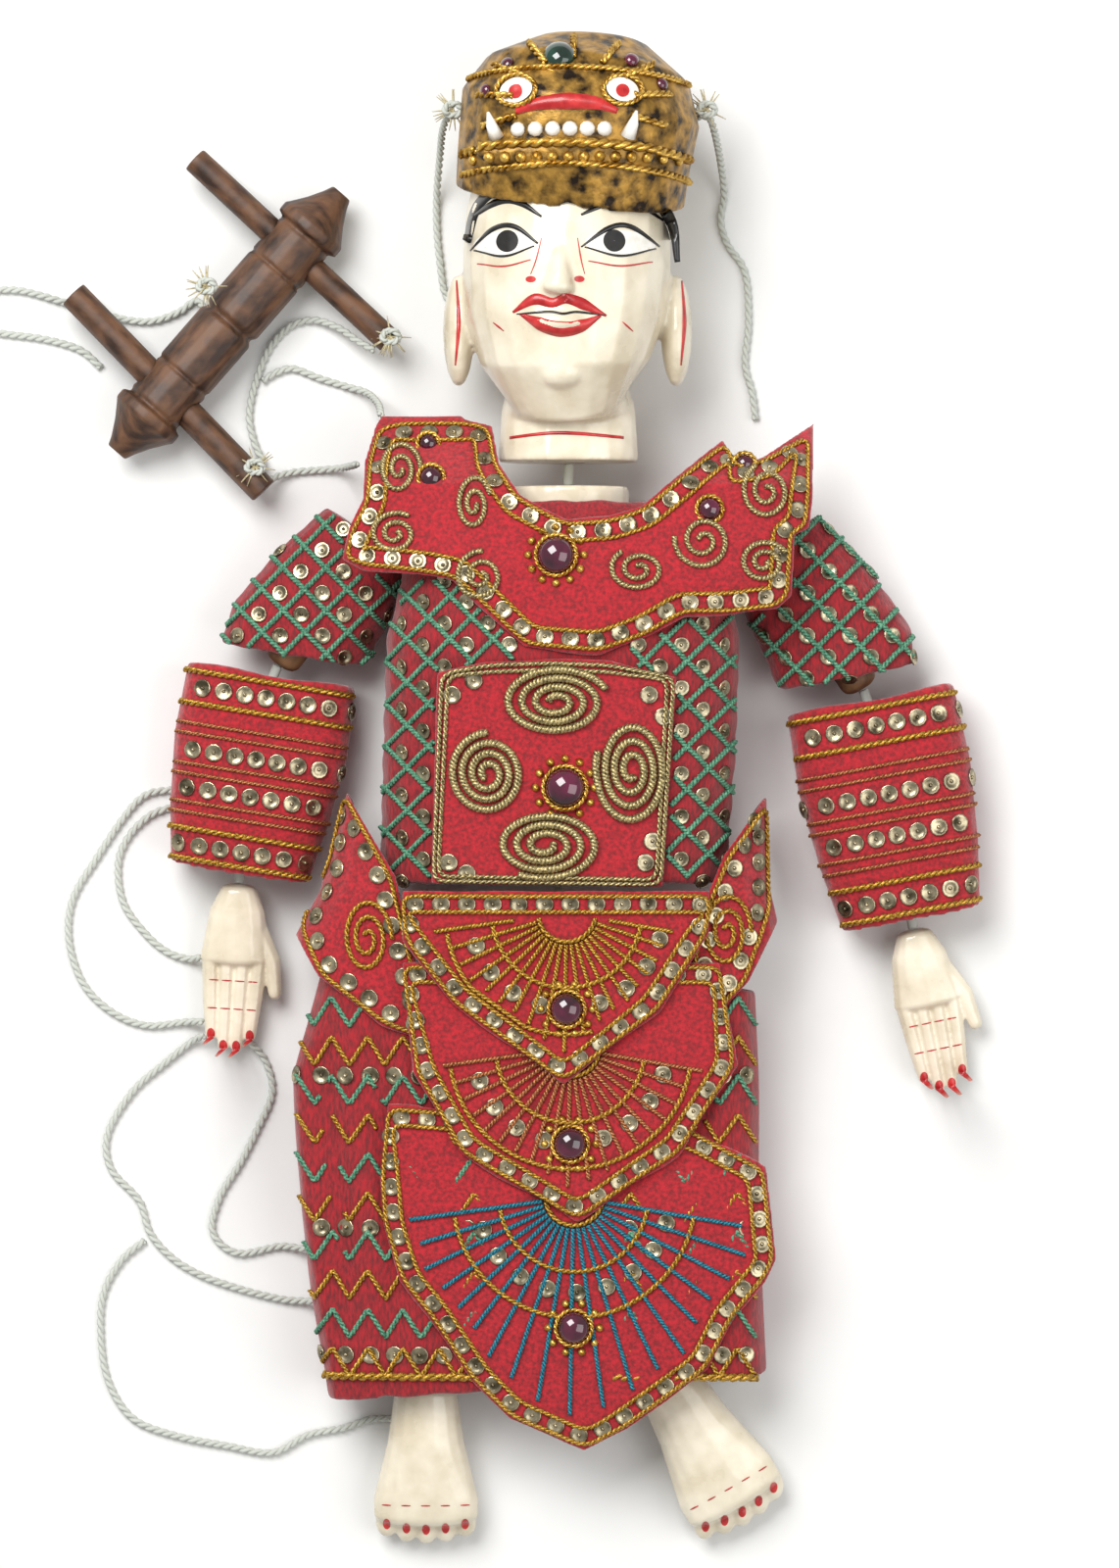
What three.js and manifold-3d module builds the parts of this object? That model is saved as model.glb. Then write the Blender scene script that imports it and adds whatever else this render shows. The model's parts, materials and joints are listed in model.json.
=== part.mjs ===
// A string puppet lying on its back, with its control beside the head.
// Millimetres. +X is the photograph's right, +Y is towards the head, +Z is up from the table.
import * as THREE from 'three';
import { mergeVertices } from 'three/addons/utils/BufferGeometryUtils.js';
import Module from 'manifold-3d';

const wasm = await Module();
wasm.setup();

// Fits and wall thicknesses
const GAP = 0.4;
const FELT = 1.6;
const CLOTH = 1.4;
const TIE_R = 1.5;
const CORD_R = 1.1;
const STONE_SIT = 0.3;
const BACK_FLAT = 0.8;
const CHEST_SIDE = 38.5;

// Wood
const ARM_R = 6.5;
const LEG_R = 8.5;
const JOINT_ROOM = 3.2;
const TIE_ROOM = JOINT_ROOM + GAP;
const TROUSER_WALL = 1.8;
const BARREL_R = 9;
const BARREL_RING_R = 10.5;
const BARREL_END_R = 3.2;
const DOWEL_UPPER_R = 3.8;
const DOWEL_LOWER_R = 4.2;
const DOWEL_UPPER_HALF = 38;
const DOWEL_LOWER_HALF = 39;

// Joint centres, each x, y, z
const NECK = [2.5, 87, 24];
const WAIST = [0, -32, 22];
const PELVIS_END = -55;
const ARMS = {
  left: { shoulder: [-57, 66, 14], elbow: [-82, 31, 12], wrist: [-91, -25, 9], tip: [-94, -75, 6] },
  right: { shoulder: [64, 64, 14], elbow: [88, 24, 12], wrist: [100, -38, 9], tip: [110, -86, 6] },
};
const LEGS = {
  left: { hip: [-24, -64, 17], knee: [-31, -120, 14], ankle: [-38, -176, 12], toe: [-38, -212, 8] },
  right: { hip: [20, -64, 17], knee: [26, -119, 14], ankle: [32, -172, 12], toe: [52, -207, 8] },
};

// Sections of the clothed front, each y, centre x, half width, height
const FRONT = [
  [104, 2, 70, 26],
  [84, 2, 76, 46],
  [60, 2, 74, 52],
  [36, 1, 62, 52],
  [10, 0, 56, 49],
  [-30, -4, 62, 45],
  [-55, -8, 72, 41],
  [-95, -5, 74, 38],
  [-135, -3, 74, 36],
  [-165, -2, 72, 33],
  [-196, -2, 66, 28],
];
const JACKET = [
  [80, 3, 24, 44],
  [70, 2, 44, 52],
  [40, 1, 50, 53.4],
  [10, 0, 50, 50.6],
  [-28, -2, 49, 46.8],
];
const SHOULDER_ROOM = FRONT.map(([y, x, half, height]) => [y, x, half + 40, height]);
const SQUARENESS = 2.6;

// Outlines seen from above, each x, y
const TABLE = [[-150, -230], [150, -230], [150, 230], [-150, 230]];
const COLLAR = [
  [-38, 122], [-27, 103], [-19, 101], [-17, 90], [-11, 81], [2, 74], [14, 75], [23, 78], [30, 84],
  [46, 97], [50, 90], [57, 92], [72, 102], [71, 80], [70, 72], [66, 70], [65, 53], [61, 49],
  [47, 47], [35, 47], [25, 41], [11, 36], [-10, 38], [-30, 57], [-37, 58], [-55, 60], [-61, 63],
  [-59, 72], [-55, 80], [-55, 90], [-52, 101], [-44, 117],
];
const MEDALLION = [[-34, 31], [-20, 34.4], [-3, 35], [14, 34.4], [33, 30], [29, -29], [-36, -28]];
const APRON_UPPER = [[-44, -30], [-44, -44], [-30, -62], [1, -84], [28, -64], [42, -42], [42, -30]];
const APRON_MIDDLE = [[-44, -50], [-41, -81], [-28, -104], [5, -123], [34, -104], [50, -79], [45, -50]];
const APRON_LOWER = [
  [-48, -90], [-51, -111], [-50, -124], [-45, -140], [-37, -150], [-25, -168], [-14, -179], [7, -188],
  [19, -182], [30, -174], [42, -165], [49, -151], [58, -140], [61, -134], [58, -108], [36, -96],
];
const FLAP_LEFT = [[-60, -2], [-46, -26], [-38, -60], [-29, -75], [-50, -68], [-68, -54], [-76, -40], [-66, -22]];
const FLAP_RIGHT = [[61, 0], [63, -36], [53, -56], [36, -74], [34, -60], [38, -40], [46, -20]];

// Cord routes, each point x, y, z of the cord's centre, chosen along the photographed cords
const CORD_ROUTES = {
  cord_hanging_loop: [
    [-101, 135.3, 4.8], [-104, 138, 1.6], [-109, 134.6, 1.3], [-118, 132, 1.2], [-130, 134, 1.2], [-143, 138, 1.2],
    [-155, 141, 1.2], [-166, 140, 1.2], [-171, 135, 1.2], [-167, 130, 1.2], [-158, 128.5, 1.2],
    [-147, 127, 1.2], [-137, 124, 1.2], [-131, 119, 1.2],
  ],
  cord_control_bridge: [
    [-52.8, 123.5, 8.5], [-58, 126.5, 6.4], [-63, 130, 4], [-70, 132.4, 1.8], [-77, 130.6, 1.2], [-83, 124, 1.2],
    [-87, 114, 1.2], [-88.6, 105, 1.2], [-87, 97, 1.4], [-84.6, 91.6, 3], [-85.9, 89.2, 6.4],
  ],
  cord_shoulder_middle: [
    [-84.7, 115.1, 1.2], [-81, 117.4, 1.2], [-76, 118.6, 1.2], [-69, 116, 1.2], [-61, 113.5, 1.2],
    [-55, 111.5, 4.5], [-51.6, 108, 14], [-50.55, 104.35, 23.05],
  ],
  cord_shoulder_lower: [
    [-83, 86, 6.5], [-81, 87.6, 3.2], [-76, 89, 1.4], [-69, 89.6, 1.2], [-63, 90, 3.2], [-59.6, 90.4, 10], [-57.6, 90.6, 18],
  ],
  cord_head_left: [
    [-28.4, 188.9, 31], [-31.2, 188.4, 30.2], [-33, 185, 24], [-34, 178, 12], [-35, 168, 3], [-35, 158, 1.2],
    [-34, 148, 1.2], [-33, 141, 1.2], [-31, 137, 1.2],
  ],
  cord_head_right: [
    [39, 188.1, 31.2], [42.2, 188, 30.4], [44, 184, 24], [46, 176, 10], [47, 168, 2], [46, 161, 1.2], [48, 154, 1.2],
    [53, 146, 1.2], [54, 132, 1.2], [53, 120, 1.2], [55, 112, 1.2], [56, 104, 1.2],
  ],
  cord_hand_outer: [
    [-106.7, -1.2, 2.9], [-110, -1.6, 1.2], [-118, -3, 1.2], [-124, -9, 1.2], [-132, -21, 1.2], [-139, -33, 1.2],
    [-140, -45, 1.2], [-136, -57, 1.2], [-128, -65, 1.2], [-118, -69, 1.2], [-107, -68, 1.8], [-101.7, -67.8, 5.1],
  ],
  cord_hand_inner: [
    [-107.5, -6.1, 3.2], [-110.6, -6.6, 1.2], [-117, -9, 1.2], [-123, -15, 1.2], [-126, -23, 1.2],
    [-124.5, -34, 1.2], [-118, -43, 1.2], [-112, -48, 1.2], [-106, -50, 1.8], [-102.1, -49.4, 4.8],
  ],
  cord_hand_knee: [
    [-101.3, -71.8, 5.1], [-105, -73.6, 1.8], [-113, -80, 1.2], [-122, -88, 1.2], [-129, -100, 1.2],
    [-128, -110, 1.2], [-120, -119, 1.2], [-117, -128, 1.2], [-111, -135, 1.2], [-103, -140, 1.2],
    [-92, -144, 1.2], [-80, -147, 1.2], [-72, -147.6, 2.6], [-66.8, -147.3, 8.1],
  ],
  cord_skirt_loop: [
    [-68.8, -132.3, 8.5], [-73, -132.6, 3.4], [-80, -132, 1.2], [-92, -134, 1.2], [-99, -128, 1.2],
    [-97, -118, 1.2], [-91, -108, 1.2], [-86, -98, 1.2], [-82, -88, 1.2], [-84, -79, 1.2], [-88.9, -73, 3.6],
  ],
  cord_ankle: [
    [-118.5, -130.4, 1.2], [-125, -136, 1.2], [-130, -145, 1.2], [-131, -156, 1.2], [-129, -170, 1.2],
    [-122, -181, 1.2], [-110, -186, 1.2], [-95, -189, 1.2], [-82, -191, 1.2], [-72, -186, 1.2],
    [-62, -184, 1.2], [-54, -181.4, 1.6], [-46.2, -181, 4.7],
  ],
};

// Colours, as sRGB bytes
const PAINTS = {
  ivory: [0xdcd2be, 0.35, 0],
  gilt: [0xa3813f, 0.4, 0.7],
  felt: [0xa81e28, 0.9, 0],
  lattice: [0x6a6a50, 0.8, 0.1],
  gold: [0xb4933f, 0.5, 0.6],
  stone: [0x50142e, 0.12, 0],
  green_stone: [0x15342a, 0.12, 0],
  wood: [0x5a4130, 0.6, 0],
  dark_wood: [0x4a3326, 0.55, 0],
  string: [0x82877a, 0.9, 0],
};

const model = new THREE.Group();

function add(name, geometry, paint) {
  const [color, roughness, metalness] = PAINTS[paint];
  geometry.deleteAttribute('normal');
  geometry.deleteAttribute('uv');
  const material = new THREE.MeshStandardMaterial({ color, roughness, metalness });
  const mesh = new THREE.Mesh(geometry, material);
  mesh.name = name;
  model.add(mesh);
}

function vector(point) {
  return new THREE.Vector3(point[0], point[1], point[2]);
}

// A closed geometry from shared points, turned so that its faces point out.
function closed(points, index) {
  let volume = 0;
  for (let i = 0; i < index.length; i += 3) {
    const [a, b, c] = index.slice(i, i + 3).map((k) => points[k]);
    volume += a.dot(b.clone().cross(c));
  }
  if (volume < 0) {
    index.reverse();
  }
  const geometry = new THREE.BufferGeometry();
  geometry.setAttribute('position', new THREE.Float32BufferAttribute(points.flatMap((p) => p.toArray()), 3));
  geometry.setIndex(index);
  return geometry;
}

// A skin over rings of equally many points, closed by a fan at each end.
function loft(rings) {
  const count = rings[0].length;
  const points = rings.flat();
  const index = [];
  for (let k = 0; k < rings.length - 1; k += 1) {
    for (let i = 0; i < count; i += 1) {
      const a = k * count + i;
      const b = k * count + ((i + 1) % count);
      index.push(a, b, b + count, a, b + count, a + count);
    }
  }
  [0, rings.length - 1].forEach((k) => {
    const centre = new THREE.Vector3();
    rings[k].forEach((p) => centre.addScaledVector(p, 1 / count));
    const hub = points.push(centre) - 1;
    for (let i = 0; i < count; i += 1) {
      const a = k * count + i;
      const b = k * count + ((i + 1) % count);
      index.push(...(k ? [a, b, hub] : [b, a, hub]));
    }
  });
  return closed(points, index);
}

// A squared-off ellipse about a centre, in the plane of side and up.
function ring(centre, side, up, a, b, sides, power = 2) {
  return Array.from({ length: sides }, (_, i) => {
    const angle = ((i + 0.5) / sides) * 2 * Math.PI;
    const c = Math.cos(angle);
    const s = Math.sin(angle);
    return centre.clone()
      .addScaledVector(side, a * Math.sign(c) * Math.abs(c) ** (2 / power))
      .addScaledVector(up, b * Math.sign(s) * Math.abs(s) ** (2 / power));
  });
}

// A limb through stations of x, y, z, half width, half height, its ends rounded over a length.
function limb(stations, { sides = 14, power = 2, round = 0 } = {}) {
  const centres = stations.map(vector);
  const up = new THREE.Vector3(0, 0, 1);
  const rings = [];
  centres.forEach((centre, k) => {
    const before = centres[Math.max(k - 1, 0)];
    const after = centres[Math.min(k + 1, centres.length - 1)];
    const along = after.clone().sub(before).normalize();
    const side = along.clone().cross(up).normalize();
    const level = side.clone().cross(along);
    const [a, b] = stations[k].slice(3);
    const end = k === 0 ? -1 : Number(k === centres.length - 1);
    const caps = end && round ? [[0, 1], [0.5, 0.87], [0.87, 0.5]] : [[0, 1]];
    const made = caps.map(([out, share]) => ring(
      centre.clone().addScaledVector(along, end * out * round), side, level, a * share, b * share, sides, power));
    rings.push(...(end < 0 ? made.reverse() : made));
  });
  return loft(rings);
}

// The solid that lies on the table under sections of y, centre x, half width, height.
function lyingForm(sections, grow = 0, sides = 28) {
  const side = new THREE.Vector3(1, 0, 0);
  const up = new THREE.Vector3(0, 0, 1);
  return loft(sections.map(([y, x, half, height]) => ring(
    new THREE.Vector3(x, y, height / 2), side, up, half + grow, height / 2 + grow, sides, SQUARENESS)));
}

function prism(outline, low, high) {
  const shape = new THREE.Shape(outline.map(([x, y]) => new THREE.Vector2(x, y)));
  const geometry = new THREE.ExtrudeGeometry(shape, { depth: high - low, bevelEnabled: false });
  return geometry.translate(0, 0, low);
}

function ball(centre, radii, width = 14, height = 8) {
  return new THREE.SphereGeometry(1, width, height).scale(...radii).translate(...centre);
}

// A cylinder between two points.
function rod(from, to, radius, sides = 20) {
  const start = vector(from);
  const span = vector(to).sub(start);
  const geometry = new THREE.CylinderGeometry(radius, radius, span.length(), sides);
  const turn = new THREE.Quaternion().setFromUnitVectors(new THREE.Vector3(0, 1, 0), span.clone().normalize());
  return geometry.applyQuaternion(turn).translate(...start.addScaledVector(span, 0.5).toArray());
}

function solid(geometry) {
  const bare = geometry.clone();
  bare.deleteAttribute('normal');
  bare.deleteAttribute('uv');
  const merged = mergeVertices(bare, 1e-4);
  return new wasm.Manifold(new wasm.Mesh({
    numProp: 3,
    vertProperties: Float32Array.from(merged.attributes.position.array),
    triVerts: Uint32Array.from(merged.index.array),
  }));
}

function geometryOf(body) {
  const mesh = body.getMesh();
  const geometry = new THREE.BufferGeometry();
  geometry.setAttribute('position', new THREE.BufferAttribute(mesh.vertProperties, 3));
  geometry.setIndex(new THREE.BufferAttribute(mesh.triVerts, 1));
  return geometry;
}

function joined(first, ...others) {
  return geometryOf(others.reduce((body, other) => body.add(solid(other)), solid(first)));
}

function cut(first, ...others) {
  return geometryOf(others.reduce((body, other) => body.subtract(solid(other)), solid(first)));
}

function common(first, second) {
  return geometryOf(solid(first).intersect(solid(second)));
}

// A point part of the way from one point to another, and one a length along the same line.
function between(from, to, share) {
  return vector(from).lerp(vector(to), share).toArray();
}

function towards(from, to, length) {
  return between(from, to, length / vector(from).distanceTo(vector(to)));
}

// A short cord across a limp joint, its ends a gap clear of the two blocks.
function addTie(name, centre, from, fromReach, to, toReach) {
  const start = towards(centre, from, fromReach - GAP);
  const end = towards(centre, to, toReach - GAP);
  add(name, rod(start, end, TIE_R, 10), 'string');
}

// A cloth panel: an outline cut from a layer that lies over the clothed front.
function panel(outline, layer, thickness) {
  const low = GAP + layer * (FELT + GAP);
  const shell = cut(lyingForm(FRONT, low + thickness), lyingForm(FRONT, low));
  return common(shell, prism(outline, 14, 70));
}

// The height of the clothed front over a point.
function frontHeight(x, y) {
  const k = FRONT.findIndex((section) => section[0] < y);
  const [a, b] = [FRONT[k - 1], FRONT[k]];
  const share = (a[0] - y) / (a[0] - b[0]);
  const [centre, half, height] = [1, 2, 3].map((i) => a[i] + share * (b[i] - a[i]));
  const inside = 1 - Math.abs((x - centre) / half) ** SQUARENESS;
  return (height / 2) * (1 + Math.max(inside, 0) ** (1 / SQUARENESS));
}

// A domed stone that sits on a layer of the clothed front.
function addStone(name, x, y, radius, layer, paint = 'stone') {
  const rim = [0, 1, 2, 3, 4, 5, 6, 7].map((i) => {
    const angle = (i / 8) * 2 * Math.PI;
    return frontHeight(x + radius * Math.cos(angle), y + radius * Math.sin(angle));
  });
  const seat = Math.max(...rim, frontHeight(x, y)) + GAP + FELT + layer * (FELT + GAP) + STONE_SIT;
  const profile = [[0, 0], [1, 0], [0.94, 0.3], [0.66, 0.62], [0, 0.8]]
    .map(([r, h]) => new THREE.Vector2(r * radius, h * radius));
  const dome = new THREE.LatheGeometry(profile, 16).rotateX(Math.PI / 2);
  add(name, dome.translate(x, y, seat), paint);
}

// Both ends of the tie from the chest block's side to the upper arm.
function shoulderTieEnds({ shoulder, elbow }) {
  const side = Math.sign(shoulder[0]);
  const chest = [side * CHEST_SIDE + 1, shoulder[1], shoulder[2] + 3];
  return [chest, towards(shoulder, elbow, JOINT_ROOM - 2 * GAP)];
}

function addTorso() {
  const stub = limb([[2.5, 72, 24, 17, 15], [2.5, 84, 24, 17.5, 15.5]], { sides: 20 });
  const trunk = limb([
    [2, 76, 24, 24, 16], [1, 66, 24, 38, 19], [1, 30, 24, 34, 20], [0, -24, 22, 31, 18],
  ], { sides: 18, power: 2.6 });
  add('chest_block', joined(trunk, stub), 'ivory');
  const inner = limb([
    [2, 90, 24, 26, 18], [2, 77, 24, 26, 18], [1, 66, 24, 38.4, 19.4], [1, 30, 24, 40, 22], [0, -40, 22, 40, 20],
  ], { sides: 18, power: 2.6 });
  const blank = lyingForm(JACKET).translate(0, 0, -BACK_FLAT);
  const flatBacked = common(blank, prism(TABLE, 0, 90));
  const holes = Object.values(ARMS).map((arm) => rod(...shoulderTieEnds(arm), TIE_R + GAP, 12));
  const roof = joined(lyingForm(FRONT), prism(TABLE, -5, 10));
  add('jacket', cut(common(flatBacked, roof), inner, ...holes), 'lattice');
  Object.entries(ARMS).forEach(([name, arm]) => {
    add(`tie_shoulder_${name}`, rod(...shoulderTieEnds(arm), TIE_R, 10), 'string');
  });
  add('collar', panel(COLLAR, 0, FELT), 'felt');
  add('medallion', panel(MEDALLION, 0, FELT), 'gold');
  addStone('medallion_stone', 1.5, -1, 5.6, 0);
  addStone('collar_stone', -1, 64, 5.2, 0);
}

function addHead() {
  const skull = limb([
    [2.5, 91, 25, 20, 17], [2.5, 106, 25, 19, 17], [2, 111, 30, 17, 20], [1.5, 119, 32, 24, 27],
    [1.5, 130, 31.5, 28, 30], [2, 145, 31.5, 29.5, 31], [2.5, 160, 31, 29, 30.5], [3, 174, 31, 26, 27],
    [4, 184, 31, 18, 20],
  ], { sides: 22, power: 2.2 });
  const nose = limb([[0, 150, 59, 2.2, 3], [0, 142, 62, 3, 4], [-0.5, 138, 62.5, 4.6, 4.6]],
    { sides: 10, round: 2 });
  const lips = ball([0, 129, 58.5], [8.5, 3.6, 5]);
  const chin = ball([0.5, 116, 52], [8, 6, 7]);
  const ears = [-28.5, 33].map((x) => ball([x, 128, 27], [4.5, 16, 9]));
  const head = joined(skull, nose, lips, chin, ...ears);
  add('head', head, 'ivory');
  const cap = limb([
    [3, 166, 31.6, 32.5, 31], [4, 176, 33.5, 33, 33], [6, 190, 34.4, 34, 34], [8, 200, 33, 29, 29],
    [8.5, 208, 32, 17, 17],
  ], { sides: 24, power: 2.2, round: 2 });
  const brow = ball([2, 176, 60], [26, 6, 6]);
  const bulges = [-11, 17].map((x) => ball([x, 193, 54], [7, 7, 10]));
  const hollow = limb([
    [1.5, 130, 31.5, 28.5, 30.5], [2, 145, 31.5, 30, 31.5], [2.5, 160, 31, 29.6, 31], [3, 174, 31, 26.6, 27.6],
    [4, 184.6, 31, 18.8, 20.8],
  ], { sides: 22, power: 2.2 });
  const socket = rod([0, 202.7, 60.7], [0, 207.5, 65.2], 4.8 + GAP, 16);
  add('crown', cut(joined(cap, brow, ...bulges), hollow, socket), 'gilt');
  const stone = new THREE.LatheGeometry(
    [[0, 0], [4.8, 0], [4.5, 2], [3, 3.6], [0, 4.4]].map(([r, h]) => new THREE.Vector2(r, h)), 16);
  add('crown_stone', stone.rotateX(0.75).translate(0, 203, 61), 'green_stone');
}

function addPelvis() {
  const block = limb([[-1, -43, 20, 28, 15], [-1, PELVIS_END + 3, 20, 28, 15]], { sides: 16, power: 2.6, round: 3 });
  const saddle = limb([[-1, -47, 23.6, 24, 23], [-1, PELVIS_END + 3, 23.6, 24, 23]], { sides: 12, power: 2.6 });
  add('pelvis_block', common(joined(block, saddle), lyingForm(FRONT, FELT + GAP)), 'ivory');
  add('apron_upper', panel(APRON_UPPER, 2, CLOTH), 'lattice');
  add('apron_middle', panel(APRON_MIDDLE, 1, CLOTH), 'lattice');
  add('apron_lower', panel(APRON_LOWER, 0, CLOTH), 'lattice');
  add('flap_left', panel(FLAP_LEFT, 0, CLOTH), 'felt');
  add('flap_right', panel(FLAP_RIGHT, 0, CLOTH), 'felt');
  addStone('apron_stone_upper', 2, -63, 4.6, 2);
  addStone('apron_stone_middle', 3, -101, 4.6, 1);
  addStone('apron_stone_lower', 4, -153, 4.6, 0);
}

// A hand with four fingers together and a thumb, lying palm down from the wrist to the tip.
function handGeometry(wrist, tip, thumbSide) {
  const start = towards(wrist, tip, JOINT_ROOM + 2);
  const knuckle = between(wrist, tip, 0.5);
  const reach = vector(tip).sub(vector(wrist)).normalize();
  const side = reach.clone().cross(new THREE.Vector3(0, 0, 1));
  const palm = limb([
    [...start, 5.4, 5], [...between(wrist, tip, 0.22), 8, 5.4], [...knuckle, 10, 5],
  ], { sides: 14, power: 2.4, round: 2 });
  const fingers = [-1.5, -0.5, 0.5, 1.5].map((step) => {
    const root = vector(knuckle).addScaledVector(side, step * 4.6);
    const end = vector(tip).addScaledVector(side, step * 3.7).addScaledVector(reach, -1.6 * step * step);
    const middle = root.clone().lerp(end, 0.5);
    return limb([
      [...root.toArray(), 2.6, 3.6], [...middle.toArray(), 2.5, 2.8], [...end.toArray(), 1.8, 1.9],
    ], { sides: 8, round: 1.6 });
  });
  const thumbRoot = vector(between(wrist, tip, 0.3)).addScaledVector(side, thumbSide * 5);
  const thumbMid = vector(between(wrist, tip, 0.5)).addScaledVector(side, thumbSide * 10.5);
  const thumbEnd = vector(between(wrist, tip, 0.68)).addScaledVector(side, thumbSide * 12);
  const thumb = limb([
    [...thumbRoot.toArray(), 3.6, 3.6], [...thumbMid.toArray(), 2.9, 3], [...thumbEnd.toArray(), 2, 2.2],
  ], { sides: 8, round: 1.8 });
  return joined(palm, ...fingers, thumb);
}

function addArm(name, { shoulder, elbow, wrist, tip }, mirror) {
  const upper = limb([
    [...towards(shoulder, elbow, JOINT_ROOM + ARM_R * 0.4), ARM_R, ARM_R],
    [...between(shoulder, elbow, 0.5), ARM_R, ARM_R],
    [...towards(elbow, shoulder, JOINT_ROOM + ARM_R * 0.4), ARM_R * 0.85, ARM_R * 0.85],
  ], { round: ARM_R * 0.4 });
  add(`upper_arm_${name}`, upper, 'wood');
  const lower = limb([
    [...towards(elbow, wrist, JOINT_ROOM + ARM_R * 0.36), ARM_R * 0.85, ARM_R * 0.85],
    [...between(elbow, wrist, 0.5), ARM_R * 0.9, ARM_R * 0.9],
    [...towards(wrist, elbow, JOINT_ROOM + ARM_R * 0.3), ARM_R * 0.7, ARM_R * 0.7],
  ], { round: ARM_R * 0.3 });
  add(`forearm_${name}`, lower, 'wood');
  add(`hand_${name}`, handGeometry(wrist, tip, mirror), 'ivory');
  addTie(`tie_elbow_${name}`, elbow, shoulder, TIE_ROOM, wrist, TIE_ROOM);
  addTie(`tie_wrist_${name}`, wrist, elbow, TIE_ROOM, tip, TIE_ROOM);
  const sleeveTop = between(shoulder, elbow, -0.12);
  const sleeveEnd = between(shoulder, elbow, 1.06);
  const sleeve = limb([
    [...sleeveTop, 15, 14], [...between(shoulder, elbow, 0.3), 19, 13.6],
    [...between(shoulder, elbow, 0.75), 21, 12.4], [...sleeveEnd, 16, 11.4],
  ].map(([x, y, , a, b]) => [x, y, b + 0.2, a, b]), { sides: 18, power: 2.4 });
  const cuffTop = between(elbow, wrist, 0.0);
  const cuff = limb([
    [...cuffTop, 24, 12.6], [...between(elbow, wrist, 0.35), 25, 12.6],
    [...between(elbow, wrist, 0.7), 23, 12], [...between(elbow, wrist, 1), 20, 10.6],
  ].map(([x, y, , a, b]) => [x, y, b + 0.2, a, b]), { sides: 20, power: 2.8 });
  const armRoom = limb([
    [...between(shoulder, elbow, -0.4), ARM_R + 2.2, ARM_R + 2.2],
    [...between(shoulder, elbow, 0.6), ARM_R + 2.2, ARM_R + 2.2],
    [...between(shoulder, elbow, 1.3), ARM_R + 2.2, ARM_R + 1.2],
  ]);
  const cuffRoom = limb([
    [...between(elbow, wrist, -0.3), 21, 9.8], [...between(elbow, wrist, 0.35), 22, 10],
    [...between(elbow, wrist, 0.7), 20, 8.4], [...between(elbow, wrist, 1.2), 17, 7.3],
  ].map(([x, y, , a, b]) => [x, y, 12 + (b < 9 ? 0.15 : -0.44), a, b]), { sides: 20, power: 2.8 });
  const cuffBlock = limb([
    [...between(elbow, wrist, -0.12), 26, 14], [...between(elbow, wrist, 1.1), 26, 14],
  ], { sides: 20, power: 3 });
  const underFront = common(sleeve, lyingForm(SHOULDER_ROOM));
  const tieHole = rod(...shoulderTieEnds({ shoulder, elbow }), TIE_R + GAP, 12);
  add(`sleeve_${name}`, cut(underFront, armRoom, cuffBlock, tieHole, lyingForm(JACKET, GAP)), 'lattice');
  add(`cuff_${name}`, cut(cuff, cuffRoom), 'felt');
}

// The lower leg with its foot, toes spread at the end.
function lowerLegGeometry({ knee, ankle, toe }) {
  const shin = limb([
    [...towards(knee, ankle, JOINT_ROOM + LEG_R * 0.4), LEG_R * 0.9, LEG_R * 0.9],
    [...between(knee, ankle, 0.5), LEG_R * 0.85, LEG_R * 0.85],
    [...between(knee, ankle, 1.04), LEG_R * 0.8, LEG_R * 0.8],
  ], { round: LEG_R * 0.4 });
  const foot = limb([
    [...between(ankle, toe, -0.1), 9, 8.4], [...between(ankle, toe, 0.3), 11, 8.8],
    [...between(ankle, toe, 0.75), 15, 7.6], [...between(ankle, toe, 0.9), 15, 6.6],
  ], { sides: 16, power: 2.3, round: 3 });
  const reach = vector(toe).sub(vector(ankle)).normalize();
  const side = reach.clone().cross(new THREE.Vector3(0, 0, 1));
  const toes = [-2, -1, 0, 1, 2].map((step) => {
    const centre = vector(toe).addScaledVector(side, step * 5.6).addScaledVector(reach, -0.5 * step * step);
    return ball([centre.x, centre.y, 6.4], [3.4, 4.6, 3.6], 10, 6);
  });
  return joined(shin, foot, ...toes);
}

function addLeg(name, joints, outer) {
  const { hip, knee, ankle } = joints;
  const thigh = limb([
    [...towards(hip, knee, JOINT_ROOM + LEG_R * 0.4), LEG_R, LEG_R],
    [...between(hip, knee, 0.5), LEG_R, LEG_R],
    [...towards(knee, hip, JOINT_ROOM + LEG_R * 0.4), LEG_R * 0.9, LEG_R * 0.9],
  ], { round: LEG_R * 0.4 });
  add(`thigh_${name}`, thigh, 'wood');
  add(`lower_leg_${name}`, lowerLegGeometry(joints), 'ivory');
  addTie(`tie_knee_${name}`, knee, hip, TIE_ROOM, ankle, TIE_ROOM);
  const above = [hip[0], WAIST[1], hip[2]];
  addTie(`tie_hip_${name}`, hip, above, PELVIS_END - hip[1] + 1, knee, TIE_ROOM);
  const centres = outer.map(([x, y, a, top]) => [x, y, top / 2 + 0.2, a, top / 2]);
  const cloth = limb(centres, { sides: 22, power: 2.5 });
  const walls = centres.map(([x, y, z, a, b]) => [x, y, z, a - 3, b - 2]);
  const [x0, y0, ...first] = walls[0];
  const [x1, y1, ...last] = walls.at(-1);
  const tube = limb([[x0, y0 + 8, ...first], ...walls, [x1, y1 - 8, ...last]], { sides: 22, power: 2.5 });
  const room = common(tube, lyingForm(FRONT, -TROUSER_WALL));
  add(`trouser_${name}`, cut(common(cloth, lyingForm(FRONT)), room), 'felt');
}

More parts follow.
